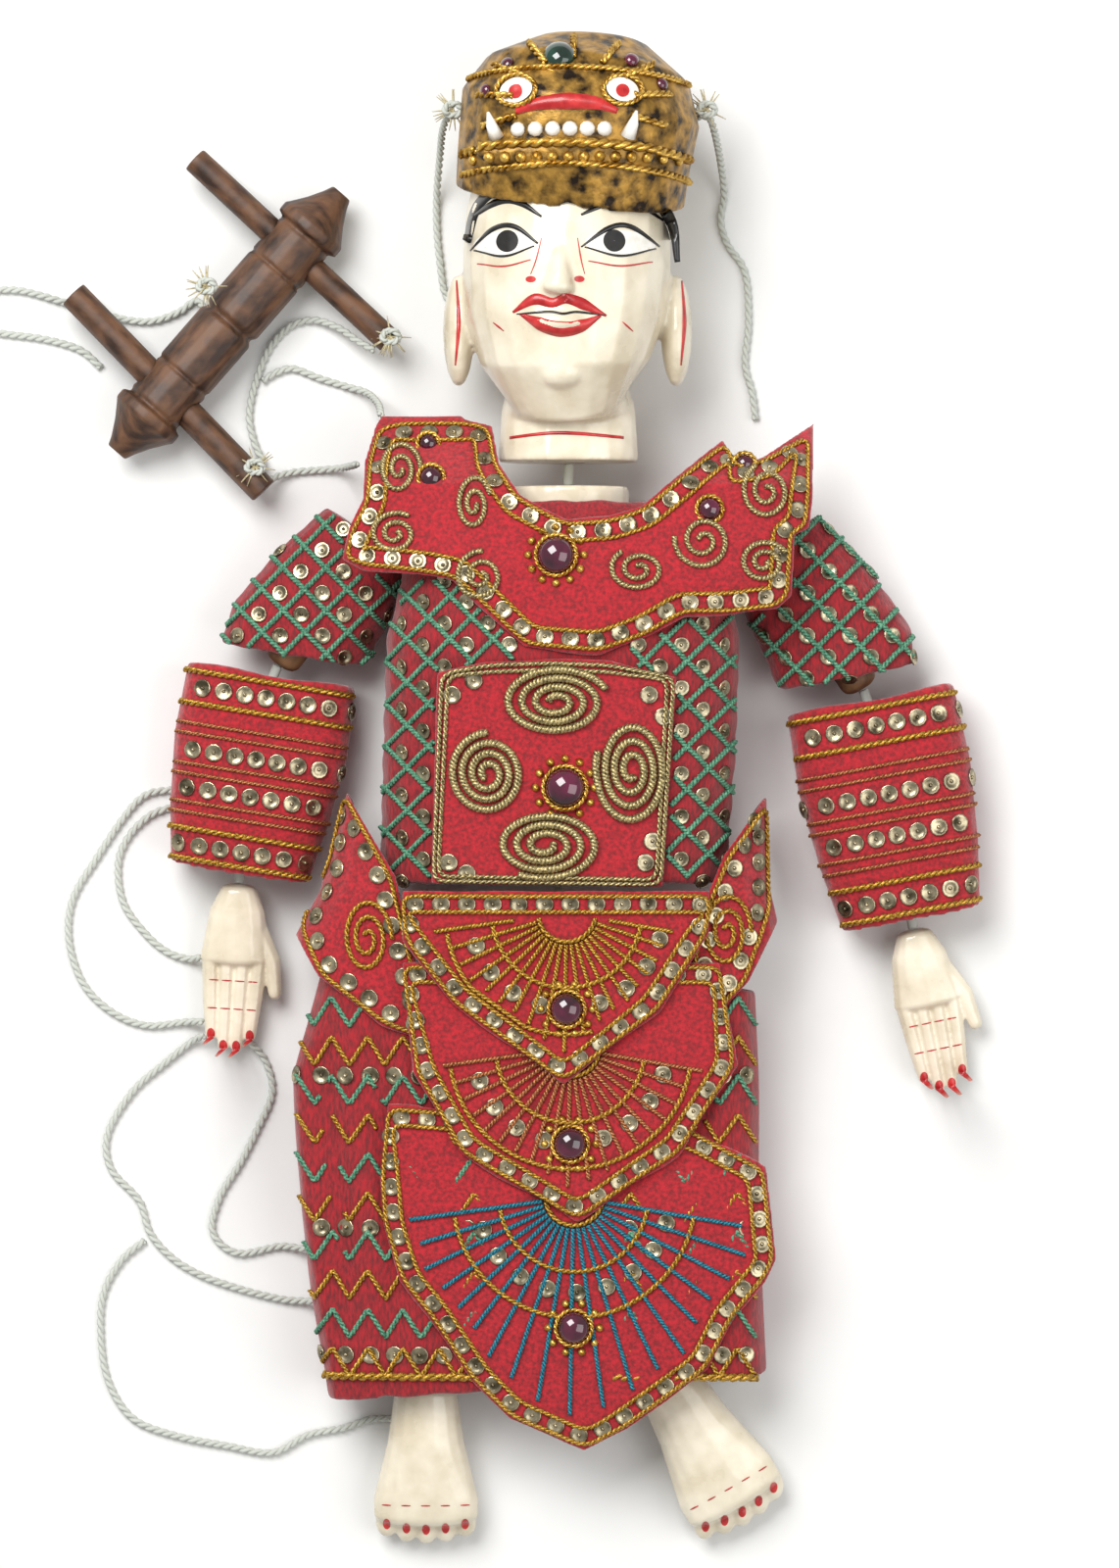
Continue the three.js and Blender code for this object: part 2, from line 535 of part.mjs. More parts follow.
// The turned barrel with its rings, grooves and flared ends, bored for both dowels.
function addControl() {
  const start = vector([-126, 94.4, BARREL_RING_R]);
  const end = vector([-62, 168, BARREL_RING_R]);
  const length = start.distanceTo(end);
  const half = [
    [0, 0], [BARREL_END_R, 0], [BARREL_END_R + 1, 2.5], [BARREL_END_R + 3.5, 7], [BARREL_RING_R - 1, 11],
    [BARREL_RING_R, 12.2], [BARREL_RING_R, 15], [BARREL_R - 0.8, 16], [BARREL_R, 17.4], [BARREL_R, 28],
    [BARREL_R - 1, 28.8], [BARREL_R, 29.6], [BARREL_R, length / 2 - 1.6], [BARREL_R - 1.4, length / 2],
  ];
  const profile = [...half, ...half.slice(0, -1).reverse().map(([r, h]) => [r, length - h])];
  const turn = new THREE.Quaternion().setFromUnitVectors(
    new THREE.Vector3(0, 1, 0), end.clone().sub(start).normalize());
  const barrel = new THREE.LatheGeometry(profile.map(([r, h]) => new THREE.Vector2(r, h)), 20)
    .applyQuaternion(turn).translate(...start.toArray());
  const dowels = [
    ['dowel_upper', 0.78, [55.7, -52, 0], DOWEL_UPPER_R, DOWEL_UPPER_HALF],
    ['dowel_lower', 0.23, [54.8, -56.6, 0], DOWEL_LOWER_R, DOWEL_LOWER_HALF],
  ].map(([name, share, direction, radius, reach]) => {
    const middle = start.clone().lerp(end, share);
    const along = vector(direction).normalize();
    const from = middle.clone().addScaledVector(along, -reach).toArray();
    const to = middle.clone().addScaledVector(along, reach).toArray();
    return { name, from, to, radius };
  });
  const bores = dowels.map(({ from, to, radius }) => rod(from, to, radius + GAP, 24));
  add('control_barrel', cut(barrel, ...bores), 'dark_wood');
  dowels.forEach(({ name, from, to, radius }) => add(name, rod(from, to, radius, 20), 'dark_wood'));
}

// A cord: an eight-sided section swept along its route.
function addCord(name, route) {
  const section = new THREE.Shape(Array.from({ length: 8 }, (_, i) => {
    const angle = ((i + 0.5) / 8) * 2 * Math.PI;
    return new THREE.Vector2(CORD_R * Math.cos(angle), CORD_R * Math.sin(angle));
  }));
  const path = new THREE.CatmullRomCurve3(route.map(vector), false, 'centripetal');
  const steps = Math.min(80, Math.ceil(path.getLength() / (CORD_R * 4)));
  add(name, new THREE.ExtrudeGeometry(section, { steps, bevelEnabled: false, extrudePath: path }), 'string');
}

addTorso();
addHead();
addPelvis();
addArm('left', ARMS.left, -1);
addArm('right', ARMS.right, -1);
addLeg('left', LEGS.left, [[-36, -58, 32, 42], [-41, -85, 34, 42], [-40, -120, 33, 40], [-36, -172, 30, 34]]);
addLeg('right', LEGS.right, [[28, -58, 28, 42], [28, -85, 29, 42], [29, -120, 29, 40], [31, -168, 28, 34]]);
addTie('tie_neck', NECK, [2.5, 110, 24], 4, [2.5, 60, 24], 3);
addTie('tie_waist', WAIST, [0, 0, 22], 8, [0, -60, 20], 8);
addControl();
Object.entries(CORD_ROUTES).forEach(([name, route]) => addCord(name, route));

export default model;
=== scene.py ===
"""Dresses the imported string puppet: carved and painted wood, gilt, embroidered cloth, sequins and cords."""

import json
import logging
import math
from collections.abc import Callable
from dataclasses import dataclass, field
from enum import Enum
from functools import cached_property

import bmesh
import bpy
import numpy as np
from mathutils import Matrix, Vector
from mathutils.bvhtree import BVHTree

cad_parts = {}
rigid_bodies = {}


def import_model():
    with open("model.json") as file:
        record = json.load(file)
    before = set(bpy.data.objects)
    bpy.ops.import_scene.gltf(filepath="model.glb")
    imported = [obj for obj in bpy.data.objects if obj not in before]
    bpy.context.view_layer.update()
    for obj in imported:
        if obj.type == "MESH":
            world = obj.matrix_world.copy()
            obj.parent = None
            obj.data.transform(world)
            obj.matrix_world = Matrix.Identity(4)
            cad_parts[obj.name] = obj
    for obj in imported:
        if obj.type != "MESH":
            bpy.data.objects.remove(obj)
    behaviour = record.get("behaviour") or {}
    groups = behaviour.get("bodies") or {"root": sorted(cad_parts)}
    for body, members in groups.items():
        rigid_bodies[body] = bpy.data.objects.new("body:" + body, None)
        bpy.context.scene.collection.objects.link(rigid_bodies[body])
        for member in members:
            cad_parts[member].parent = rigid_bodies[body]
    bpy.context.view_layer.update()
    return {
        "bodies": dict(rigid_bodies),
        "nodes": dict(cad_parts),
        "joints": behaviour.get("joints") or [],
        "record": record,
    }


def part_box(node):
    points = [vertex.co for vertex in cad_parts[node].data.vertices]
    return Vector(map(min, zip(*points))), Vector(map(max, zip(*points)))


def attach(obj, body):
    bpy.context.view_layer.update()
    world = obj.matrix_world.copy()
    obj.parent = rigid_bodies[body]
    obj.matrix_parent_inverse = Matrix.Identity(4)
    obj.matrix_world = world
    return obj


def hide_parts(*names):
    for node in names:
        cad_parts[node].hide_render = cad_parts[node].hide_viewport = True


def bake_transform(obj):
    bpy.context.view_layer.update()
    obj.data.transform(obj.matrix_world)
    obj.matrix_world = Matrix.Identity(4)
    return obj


LOG = logging.getLogger("puppet")
MM = 0.001
TURN = 2 * math.pi
UP = (0, 0, 1)
SIDES = ("left", "right")

# A point, or the points of a line or an outline
Points = list | tuple | np.ndarray

# In metres: the camera's height, what it sees of the table, where rays start, and the lowest cloth
CAMERA_HEIGHT = 2.4
VIEW_LONG_SIDE = 0.448
RAY_TOP = 0.5
LOWEST = 0.0001

# The camera's sensor in millimetres
SENSOR = 36.0

# In millimetres: the ornament's radii, the lattice's cell, the twist of bullion, how far from an outline's
# corner its braid bends, and the largest step that a draped run takes up or down
CORD_RADIUS = 1.1
BRAID_RADIUS = 0.75
SEQUIN_RADIUS = 2.6
LATTICE_STEP = 12.0
FINE_PITCH = 2.2
CORNER = 3.0
LARGEST_STEP = 5.0

# The heights in millimetres that a stone, a painted patch and a stroke have where no surface is below
STONE_HEIGHT, PATCH_HEIGHT, STROKE_HEIGHT = 40.0, 55.0, 50.0

# The remesh sizes of flat panels, of sleeves and cuffs, and of the jacket and trousers, in millimetres
PANEL_VOXEL, CLOTH_VOXEL, THICK_VOXEL = 0.6, 0.9, 1.1

# As shares of a rope's radius: the length of a twist, its plies' way from the middle, and their radius
TWIST = 4.4
PLY_OFFSET = 0.48
PLY_RADIUS = 0.56

# How many points a twist of a rope and a stone's beaded ring have
TWIST_POINTS = 7
RING_POINTS = 40

# A sequin's rings as shares of its radius, each with its height in millimetres
SEQUIN_PROFILE = ((0.18, 0.05), (0.6, 0.12), (0.86, 0.45), (1.0, 0.35), (1.0, 0.12), (0.6, -0.1),
                  (0.18, -0.12))

# The joints' centres and the limbs' ends, in millimetres, as the solids have them
JOINTS = {
    "left": {"shoulder": (-57, 66, 14), "elbow": (-82, 31, 12), "wrist": (-91, -25, 9), "tip": (-94, -75, 6),
             "hip": (-24, -64, 17), "knee": (-31, -120, 14), "ankle": (-38, -176, 12),
             "toe": (-38, -212, 8)},
    "right": {"shoulder": (64, 66, 14), "elbow": (88, 24, 12), "wrist": (100, -38, 9), "tip": (110, -86, 6),
              "hip": (20, -64, 17), "knee": (26, -119, 14), "ankle": (32, -172, 12), "toe": (52, -207, 8)},
}

# Outlines seen from above, in millimetres, as the solids have them
COLLAR = [
    (-27, 103), (-19, 101), (-17, 90), (-11, 81), (2, 74), (14, 75), (23, 78), (30, 84), (46, 97), (50, 90),
    (57, 92), (71, 99), (71, 80), (70, 72), (66, 70), (65, 53), (61, 49), (47, 47), (35, 47), (25, 41),
    (11, 36), (-10, 38), (-30, 57), (-37, 58), (-55, 60), (-61, 63), (-59, 72), (-55, 80), (-55, 90),
    (-52, 101), (-44, 103),
]
MEDALLION = [(-34, 31), (-20, 34.4), (-3, 35), (14, 34.4), (33, 30), (29, -29), (-36, -28)]
APRON_UPPER = [(-44, -30), (-44, -44), (-30, -62), (1, -84), (28, -64), (42, -42), (42, -30)]
APRON_MIDDLE = [(-44, -50), (-41, -81), (-28, -104), (5, -123), (34, -104), (50, -79), (45, -50)]
APRON_LOWER = [
    (-48, -90), (-51, -111), (-50, -124), (-45, -140), (-37, -150), (-25, -168), (-14, -179), (7, -188),
    (19, -182), (30, -174), (42, -165), (49, -151), (58, -140), (61, -134), (58, -108), (36, -96),
]
FLAP_LEFT = [(-60, -2), (-46, -26), (-38, -60), (-29, -75), (-50, -68), (-68, -54), (-74, -40), (-66, -22)]
FLAP_RIGHT = [(59, -5), (60, -36), (53, -56), (36, -74), (35, -60), (38, -40), (46, -20)]

# Cord routes, in millimetres, as the solids have them; a point without a height lies on the table
LYING = 1.2
CORD_ROUTES = {
    "cord_hanging_loop": [
        (-101, 135.3, 4.8), (-104, 138, 1.6), (-109, 134.6, 1.3), (-118, 132), (-130, 134), (-143, 138),
        (-155, 141), (-166, 140), (-171, 135), (-167, 130), (-158, 128.5), (-147, 127), (-137, 124),
        (-131, 119),
    ],
    "cord_control_bridge": [
        (-52.8, 123.5, 8.5), (-58, 126.5, 6.4), (-63, 130, 4), (-70, 132.4, 1.8), (-77, 130.6), (-83, 124),
        (-87, 114), (-88.6, 105), (-87, 97, 1.4), (-84.6, 91.6, 3), (-85.9, 89.2, 6.4),
    ],
    "cord_shoulder_middle": [
        (-84.7, 115.1), (-81, 117.4), (-76, 118.6), (-69, 116), (-61, 113.5), (-55, 111.5, 4.5),
        (-51.6, 108, 14), (-50.55, 104.35, 23.05),
    ],
    "cord_shoulder_lower": [
        (-83, 86, 6.5), (-81, 87.6, 3.2), (-76, 89, 1.4), (-69, 89.6), (-63, 90, 3.2), (-59.6, 90.4, 10),
        (-57.6, 90.6, 18),
    ],
    "cord_head_left": [
        (-28.4, 188.9, 31), (-31.2, 188.4, 30.2), (-33, 185, 24), (-34, 178, 12), (-35, 168, 3), (-35, 158),
        (-34, 148), (-33, 141), (-31, 137),
    ],
    "cord_head_right": [
        (39, 188.1, 31.2), (42.2, 188, 30.4), (44, 184, 24), (46, 176, 10), (47, 168, 2), (46, 161),
        (48, 154), (53, 146), (54, 132), (53, 120), (55, 112), (56, 104),
    ],
    "cord_hand_outer": [
        (-106.7, -1.2, 2.9), (-110, -1.6), (-118, -3), (-124, -9), (-132, -21), (-139, -33), (-140, -45),
        (-136, -57), (-128, -65), (-118, -69), (-107, -68, 1.8), (-101.7, -67.8, 5.1),
    ],
    "cord_hand_inner": [
        (-107.5, -6.1, 3.2), (-110.6, -6.6), (-117, -9), (-123, -15), (-126, -23), (-124.5, -34),
        (-118, -43), (-112, -48), (-106, -50, 1.8), (-102.1, -49.4, 4.8),
    ],
    "cord_hand_knee": [
        (-101.3, -71.8, 5.1), (-105, -73.6, 1.8), (-113, -80), (-122, -88), (-129, -100), (-128, -110),
        (-120, -119), (-117, -128), (-111, -135), (-103, -140), (-92, -144), (-80, -147), (-72, -147.6, 2.6),
        (-66.8, -147.3, 8.1),
    ],
    "cord_skirt_loop": [
        (-68.8, -132.3, 8.5), (-73, -132.6, 3.4), (-80, -132), (-92, -134), (-99, -128), (-97, -118),
        (-91, -108), (-86, -98), (-82, -88), (-84, -79), (-88.9, -73, 3.6),
    ],
    "cord_ankle": [
        (-118.5, -130.4), (-125, -136), (-130, -145), (-131, -156), (-129, -170), (-122, -181), (-110, -186),
        (-95, -189), (-82, -191), (-72, -186), (-62, -184), (-54, -181.4, 1.6), (-46.2, -181, 4.7),
    ],
}

# The knots' middles, in millimetres, with the body that each rides on
KNOTS = (((-30, 190, 33), "head"), ((41.5, 190, 33), "head"), ((-100, 141, 21.4), "control"),
         ((-48, 127, 15.2), "control"), ((-86.5, 90, 14.4), "control"))

# The eyes' corners and irises along x, and the face's strokes with their half widths, in millimetres
EYES = ((-24, -7, -14.5), (7, 27, 15.2))
RED_STROKES = (
    ([(-13, 131.5), (-7, 135), (-2, 134), (3, 135), (13, 130.5)], (0.3, 1.6, 1.3, 1.6, 0.3)),
    ([(-11, 131), (-4, 127.6), (1, 126.6), (6, 127.6), (11.5, 130.5)], (0.3, 1.7, 2.1, 1.7, 0.3)),
    ([(-5, 152), (-6.5, 146), (-8, 142)], (0.1, 0.22, 0.1)),
    ([(5, 152), (6, 146), (7, 142)], (0.1, 0.22, 0.1)),
    ([(-18.5, 129), (-15.5, 126.5)], (0.1, 0.3, 0.1)),
    ([(17.5, 129), (20.5, 126.5)], (0.1, 0.3, 0.1)),
    ([(-14, 97.5), (0, 98.6), (18, 97.5)], (0.4, 0.5, 0.4)),
    ([(-29, 142), (-28.4, 130), (-29.3, 118)], (0.2, 0.6, 0.2)),
    ([(34.5, 142), (35.1, 130), (34.2, 118)], (0.2, 0.6, 0.2)),
)
BLACK_STROKES = (
    ([(-12, 131), (-3, 131.4), (1, 130.8), (5, 131.4), (12.5, 130.6)], (0.15, 0.35, 0.35, 0.35, 0.15)),
    ([(-26, 152), (-22, 163), (-8, 171.5), (4, 171.5), (22, 167), (31, 158), (33, 146)],
     (1.2, 1.6, 1.4, 1.4, 1.6, 1.6, 0.8)),
)


class Slot(Enum):
    """The record's material slots."""

    IVORY = "ivory"
    GILT = "gilt"
    FELT = "felt"
    LATTICE = "lattice"
    GOLD = "gold"
    STONE = "stone"
    GREEN_STONE = "green_stone"
    WOOD = "wood"
    DARK_WOOD = "dark_wood"
    STRING = "string"


@dataclass(frozen=True)
class Finish:
    """A procedural finish.

    Args:
        name: The material's name.
        dark: The darker colour, as sRGB bytes.
        light: The lighter colour, as sRGB bytes.
        scale: The pattern's scale on Object coordinates.
        roughness: The surface roughness.
        metallic: The metallic share.
        bump: The bump's height in millimetres.
        stretch: How the pattern is stretched along each axis.
        sheen: The sheen's weight.
        coat: The clear coat's weight.
    """

    name: str
    dark: tuple
    light: tuple
    scale: float
    roughness: float
    metallic: float = 0.0
    bump: float = 0.1
    stretch: tuple = (1, 1, 1)
    sheen: float = 0.0
    coat: float = 0.0

    def material(self) -> bpy.types.Material:
        """Makes the Blender material at the first call.

        Returns:
            The material.
        """
        found = bpy.data.materials.get(self.name)
        if found:
            return found
        material = bpy.data.materials.new(self.name)
        material.use_nodes = True
        nodes = material.node_tree.nodes
        shader = nodes["Principled BSDF"]
        place, mapping, noise, ramp, rough, bump = (nodes.new(f"ShaderNode{kind}") for kind in (
            "TexCoord", "Mapping", "TexNoise", "ValToRGB", "MapRange", "Bump"))
        mapping.inputs["Scale"].default_value = self.stretch
        noise.inputs["Scale"].default_value = self.scale
        noise.inputs["Detail"].default_value = 6.0
        for element, position, color in zip(ramp.color_ramp.elements, (0.35, 0.65), (self.dark, self.light)):
            element.position = position
            element.color = linear(color)
        rough.inputs["To Min"].default_value = self.roughness * 0.8
        rough.inputs["To Max"].default_value = min(self.roughness * 1.25, 1)
        bump.inputs["Distance"].default_value = self.bump * MM
        for source, output, target, entry in (
                (place, "Object", mapping, "Vector"), (mapping, "Vector", noise, "Vector"),
                (noise, "Fac", ramp, "Fac"), (noise, "Fac", rough, "Value"), (noise, "Fac", bump, "Height"),
                (ramp, "Color", shader, "Base Color"), (rough, "Result", shader, "Roughness"),
                (bump, "Normal", shader, "Normal")):
            material.node_tree.links.new(source.outputs[output], target.inputs[entry])
        shader.inputs["Metallic"].default_value = self.metallic
        shader.inputs["Sheen Weight"].default_value = self.sheen
        shader.inputs["Coat Weight"].default_value = self.coat
        return material


def linear(color: tuple) -> tuple:
    """Turns sRGB bytes into a linear colour with alpha 1."""
    return tuple((c / 255) ** 2.2 for c in color) + (1.0,)


RED_FELT = Finish("red_felt", (120, 12, 24), (178, 28, 40), 900, 0.9, bump=0.25, sheen=0.4)
RED_CLOTH = Finish("red_cloth", (104, 12, 22), (160, 26, 36), 1300, 0.8, bump=0.2, sheen=0.3,
                   stretch=(1, 0.3, 1))
GOLD_BRAID = Finish("gold_braid", (112, 78, 24), (214, 170, 74), 1800, 0.42, 0.75, bump=0.12)
COPPER_BRAID = Finish("copper_braid", (110, 62, 38), (204, 138, 92), 1800, 0.45, 0.7, bump=0.12)
BLUE_BRAID = Finish("blue_braid", (14, 74, 92), (52, 146, 166), 1800, 0.5, 0.4, bump=0.12)
GREEN_CORD = Finish("green_cord", (42, 96, 76), (112, 168, 136), 1600, 0.6, 0.25, bump=0.12)
SEQUIN = Finish("sequin", (92, 84, 66), (190, 178, 148), 300, 0.26, 0.9, bump=0.03)
BULLION = Finish("bullion", (96, 86, 60), (204, 186, 134), 1600, 0.38, 0.8, bump=0.1)
BEAD = Finish("gold_bead", (150, 106, 36), (230, 190, 96), 500, 0.3, 0.85, bump=0.03)
PURPLE_STONE = Finish("purple_stone", (40, 6, 22), (92, 20, 52), 160, 0.08, bump=0.01, coat=1.0)
GREEN_STONE = Finish("green_glass", (8, 26, 20), (24, 62, 48), 160, 0.08, bump=0.01, coat=1.0)
IVORY = Finish("ivory_paint", (206, 194, 168), (230, 220, 198), 90, 0.28, bump=0.08, coat=0.35)
RED_PAINT = Finish("red_paint", (158, 26, 30), (200, 52, 50), 300, 0.35, bump=0.03, coat=0.3)
BLACK_PAINT = Finish("black_paint", (12, 11, 11), (34, 31, 29), 300, 0.3, bump=0.03, coat=0.4)
WHITE_PAINT = Finish("white_paint", (226, 222, 212), (244, 241, 234), 300, 0.3, bump=0.03, coat=0.4)
GILT = Finish("gilt_lacquer", (38, 28, 18), (176, 134, 62), 240, 0.38, 0.6, bump=0.5)
BRIGHT_GILT = Finish("bright_gilt", (142, 100, 32), (226, 184, 92), 300, 0.32, 0.8, bump=0.2)
TURNED_WOOD = Finish("turned_wood", (48, 31, 21), (104, 72, 50), 160, 0.5, bump=0.15, stretch=(0.7, 0.8, 3))
PLAIN_WOOD = Finish("plain_wood", (96, 66, 44), (150, 112, 78), 160, 0.6, bump=0.15, stretch=(1, 0.2, 1))
STRING = Finish("string", (92, 98, 84), (158, 160, 142), 1500, 0.85, bump=0.2)
FRAY = Finish("frayed_thread", (160, 148, 112), (206, 194, 158), 1500, 0.9, bump=0.1)
PAPER = Finish("paper", (222, 222, 220), (228, 228, 226), 20, 0.9, bump=0.01)


@dataclass(frozen=True)
class Binding:
    """How a piece follows the bodies.

    Args:
        body: The body that it rides on, or the first of two bodies.
        other: The second body, or None.
        start: Where it stops following the first, in millimetres; not used.
        end: Where it follows the second, in millimetres; not used.
    """

    body: str
    other: str | None = None
    start: tuple = (0, 0, 0)
    end: tuple = (0, 0, 0)

    def hold(self, piece: bpy.types.Object) -> None:
        """Makes the piece ride on its body, or bakes its transform in place where it has a second body.

        Args:
            piece: The piece.
        """
        if self.other is None:
            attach(piece, self.body)
            return
        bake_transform(piece)


def between(a: tuple, b: tuple, share: float) -> tuple:
    """A point part of the way from a to b."""
    return tuple(p + (q - p) * share for p, q in zip(a, b))


def resample(points: Points, step: float, closed: bool = False) -> np.ndarray:
    """Points a step apart along a polyline.

    Args:
        points: The polyline.
        step: The distance between the new points.
        closed: Whether the polyline is a loop.

    Returns:
        An array of points.
    """
    points = np.array(points, float)
    if closed:
        points = np.vstack([points, points[:1]])
    lengths = np.linalg.norm(np.diff(points, axis=0), axis=1)
    along = np.concatenate([[0], np.cumsum(lengths)])
    count = max(int(round(along[-1] / step)), 2)
    at = np.linspace(0, along[-1], count + 1)
    return np.stack([np.interp(at, along, points[:, k]) for k in range(points.shape[1])], axis=1)


def smooth_route(points: Points, step: float) -> np.ndarray:
    """A smooth curve through the points, resampled at a step.

    Args:
        points: The points.
        step: The distance between the new points.

    Returns:
        An array of points.
    """
    points = np.array(points, float)
    padded = np.vstack([2 * points[0] - points[1], points, 2 * points[-1] - points[-2]])
    out = []
    for k in range(1, len(padded) - 2):
        a, b, c, d = padded[k - 1:k + 3]
        for t in np.linspace(0, 1, 10, endpoint=False):
            out.append(0.5 * (2 * b + (c - a) * t + (2 * a - 5 * b + 4 * c - d) * t * t
                              + (3 * b - a - 3 * c + d) * t ** 3))
    out.append(points[-1])
    return resample(out, step)


def rounded(outline: Points, radius: float) -> np.ndarray:
    """An outline with its corners cut round.

    Args:
        outline: The outline, as an array.
        radius: How far from a corner the cut starts.

    Returns:
        The new outline.
    """
    out = []
    for k, corner in enumerate(outline):
        before = outline[k - 1] - corner
        after = outline[(k + 1) % len(outline)] - corner
        reach = min(radius, np.linalg.norm(before) * 0.45, np.linalg.norm(after) * 0.45)
        start = corner + before / np.linalg.norm(before) * reach
        end = corner + after / np.linalg.norm(after) * reach
        for t in np.linspace(0, 1, 4):
            out.append(start * (1 - t) ** 2 + corner * 2 * t * (1 - t) + end * t * t)
    return np.array(out)


def inset(outline: Points, distance: float) -> np.ndarray:
    """An outline drawn in by a distance, whichever way it runs.

    Args:
        outline: The outline.
        distance: The distance in millimetres.

    Returns:
        The new outline.
    """
    points = np.array(outline, float)
    before = np.roll(points, 1, axis=0)
    after = np.roll(points, -1, axis=0)
    area = np.sum(points[:, 0] * after[:, 1] - after[:, 0] * points[:, 1])
    turn = 1 if area > 0 else -1
    along = after - before
    normal = np.stack([-along[:, 1], along[:, 0]], axis=1) * turn
    normal /= np.linalg.norm(normal, axis=1, keepdims=True)
    return points + normal * distance


def inside(outline: Points, x: float, y: float) -> bool:
    """Whether a point lies inside an outline.

    Args:
        outline: The outline.
        x: The place along x.
        y: The place along y.

    Returns:
        True if it does.
    """
    points = np.array(outline, float)
    after = np.roll(points, -1, axis=0)
    crosses = (points[:, 1] > y) != (after[:, 1] > y)
    with np.errstate(divide="ignore", invalid="ignore"):
        at = points[:, 0] + (y - points[:, 1]) * (after[:, 0] - points[:, 0]) / (after[:, 1] - points[:, 1])
    return bool(np.sum(crosses & (x < at)) % 2)


@dataclass
class Batch:
    """Gathers many small shapes into one mesh, in millimetres.

    Args:
        points: Arrays of points.
        faces: The faces, as indices over all the points.
        count: How many points there are.
    """

    points: list = field(default_factory=list)
    faces: list = field(default_factory=list)
    count: int = 0

    def grid(self, rings: list, closed_ends: bool = True) -> None:
        """Adds a skin over rings of equally many points.

        Args:
            rings: The rings, from one end to the other.
            closed_ends: Whether both ends are filled.
        """
        rings = np.array(rings, float)
        rows, sides = rings.shape[:2]
        start = self.count
        self.points.append(rings.reshape(-1, 3))
        self.count += rows * sides
        for r in range(rows - 1):
            for i in range(sides):
                a = start + r * sides + i
                b = start + r * sides + (i + 1) % sides
                self.faces.append((a, b, b + sides, a + sides))
        if closed_ends:
            self.faces.append(tuple(start + i for i in reversed(range(sides))))
            self.faces.append(tuple(start + (rows - 1) * sides + i for i in range(sides)))

    def tube(self, path: Points, radius: float | np.ndarray, sides: int) -> None:
        """Adds a plain tube along a path, with one radius or one for each point.

        Args:
            path: The tube's middle line.
            radius: Its radius.
            sides: How many sides it has.
        """
        path = np.array(path, float)
        tangent = np.gradient(path, axis=0)
        tangent /= np.linalg.norm(tangent, axis=1, keepdims=True) + 1e-12
        side = np.cross(tangent, UP)
        side[np.linalg.norm(side, axis=1) < 1e-3] = (1, 0, 0)
        side /= np.linalg.norm(side, axis=1, keepdims=True)
        up = np.cross(side, tangent)
        angle = np.arange(sides) / sides * TURN
        ring = np.cos(angle)[None, :, None] * side[:, None] + np.sin(angle)[None, :, None] * up[:, None]
        self.grid(path[:, None] + ring * np.broadcast_to(radius, len(path))[:, None, None])

    def rope(self, path: Points, radius: float, pitch: float | None = None, sides: int = 5) -> None:
        """Adds a rope of two plies along a path.

        Args:
            path: The rope's middle line.
            radius: Its radius.
            pitch: The length of a whole twist, or None for one that suits the radius.
            sides: How many sides each ply has.
        """
        path = resample(path, (pitch or radius * TWIST) / TWIST_POINTS)
        tangent = np.gradient(path, axis=0)
        tangent /= np.linalg.norm(tangent, axis=1, keepdims=True) + 1e-12
        side = np.cross(tangent, UP)
        side /= np.linalg.norm(side, axis=1, keepdims=True) + 1e-9
        up = np.cross(side, tangent)
        turn = np.arange(len(path)) * TURN / TWIST_POINTS
        for angle in (turn, turn + math.pi):
            away = np.cos(angle)[:, None] * side + np.sin(angle)[:, None] * up
            self.tube(path + away * radius * PLY_OFFSET, radius * PLY_RADIUS, sides)

    def turned(self, centre: Points, profile: list, sides: int, normal: Points) -> None:
        """Adds a turned shape that stands on a point.

        Args:
            centre: The point.
            profile: The radius and height of each ring.
            sides: How many sides it has.
            normal: The way it stands.
        """
        axis = Vector(normal).normalized()
        across = axis.orthogonal().normalized()
        frame = np.array([across, axis.cross(across), axis])
        angle = np.arange(sides) / sides * TURN
        rings = []
        for radius, height in profile:
            x, y = np.cos(angle) * radius, np.sin(angle) * radius
            rings.append(np.array(centre) + np.stack([x, y, np.full(sides, height)], axis=1) @ frame)
        self.grid(rings)

    def dome(self, centre: Points, radius: float, height: float, sides: int, levels: int,
             normal: Points = UP) -> None:
        """Adds a closed dome that stands on a point.

        Args:
            centre: The point.
            radius: The dome's radius.
            height: Its height.
            sides: How many sides it has.
            levels: How many rows of faces it has.
            normal: The way it stands.
        """
        rise = [k / levels * math.pi / 2 for k in range(levels + 1)]
        profile = [(max(math.cos(a), 0.03) * radius, math.sin(a) * height) for a in rise]
        self.turned(centre, profile, sides, normal)

    def sequin(self, centre: Points, radius: float, normal: Points) -> None:
        """Adds a cupped disc with a bead sewn at its middle."""
        self.turned(centre, [(share * radius, lift) for share, lift in SEQUIN_PROFILE], 12, normal)
        self.dome(centre, radius * 0.26, radius * 0.3, 6, 2, normal)

    def piece(self, name: str, finish: Finish, slot: Slot, binding: Binding) -> bpy.types.Object:
        """Makes the mesh object, holds it to its bodies and returns it.

        Args:
            name: The piece's name.
            finish: Its finish.
            slot: Its material slot; not used.
            binding: How it follows the bodies.

        Returns:
            The object.
        """
        mesh = bpy.data.meshes.new(name)
        mesh.from_pydata((np.vstack(self.points) * MM).tolist(), [], self.faces)
        mesh.validate()
        obj = bpy.data.objects.new(name, mesh)
        bpy.context.collection.objects.link(obj)
        fix = bmesh.new()
        fix.from_mesh(mesh)
        bmesh.ops.recalc_face_normals(fix, faces=fix.faces)
        fix.to_mesh(mesh)
        fix.free()
        mesh.polygons.foreach_set("use_smooth", [True] * len(mesh.polygons))
        mesh.materials.append(finish.material())
        binding.hold(obj)
        LOG.info("%s follows %s", name, binding.body)
        return obj


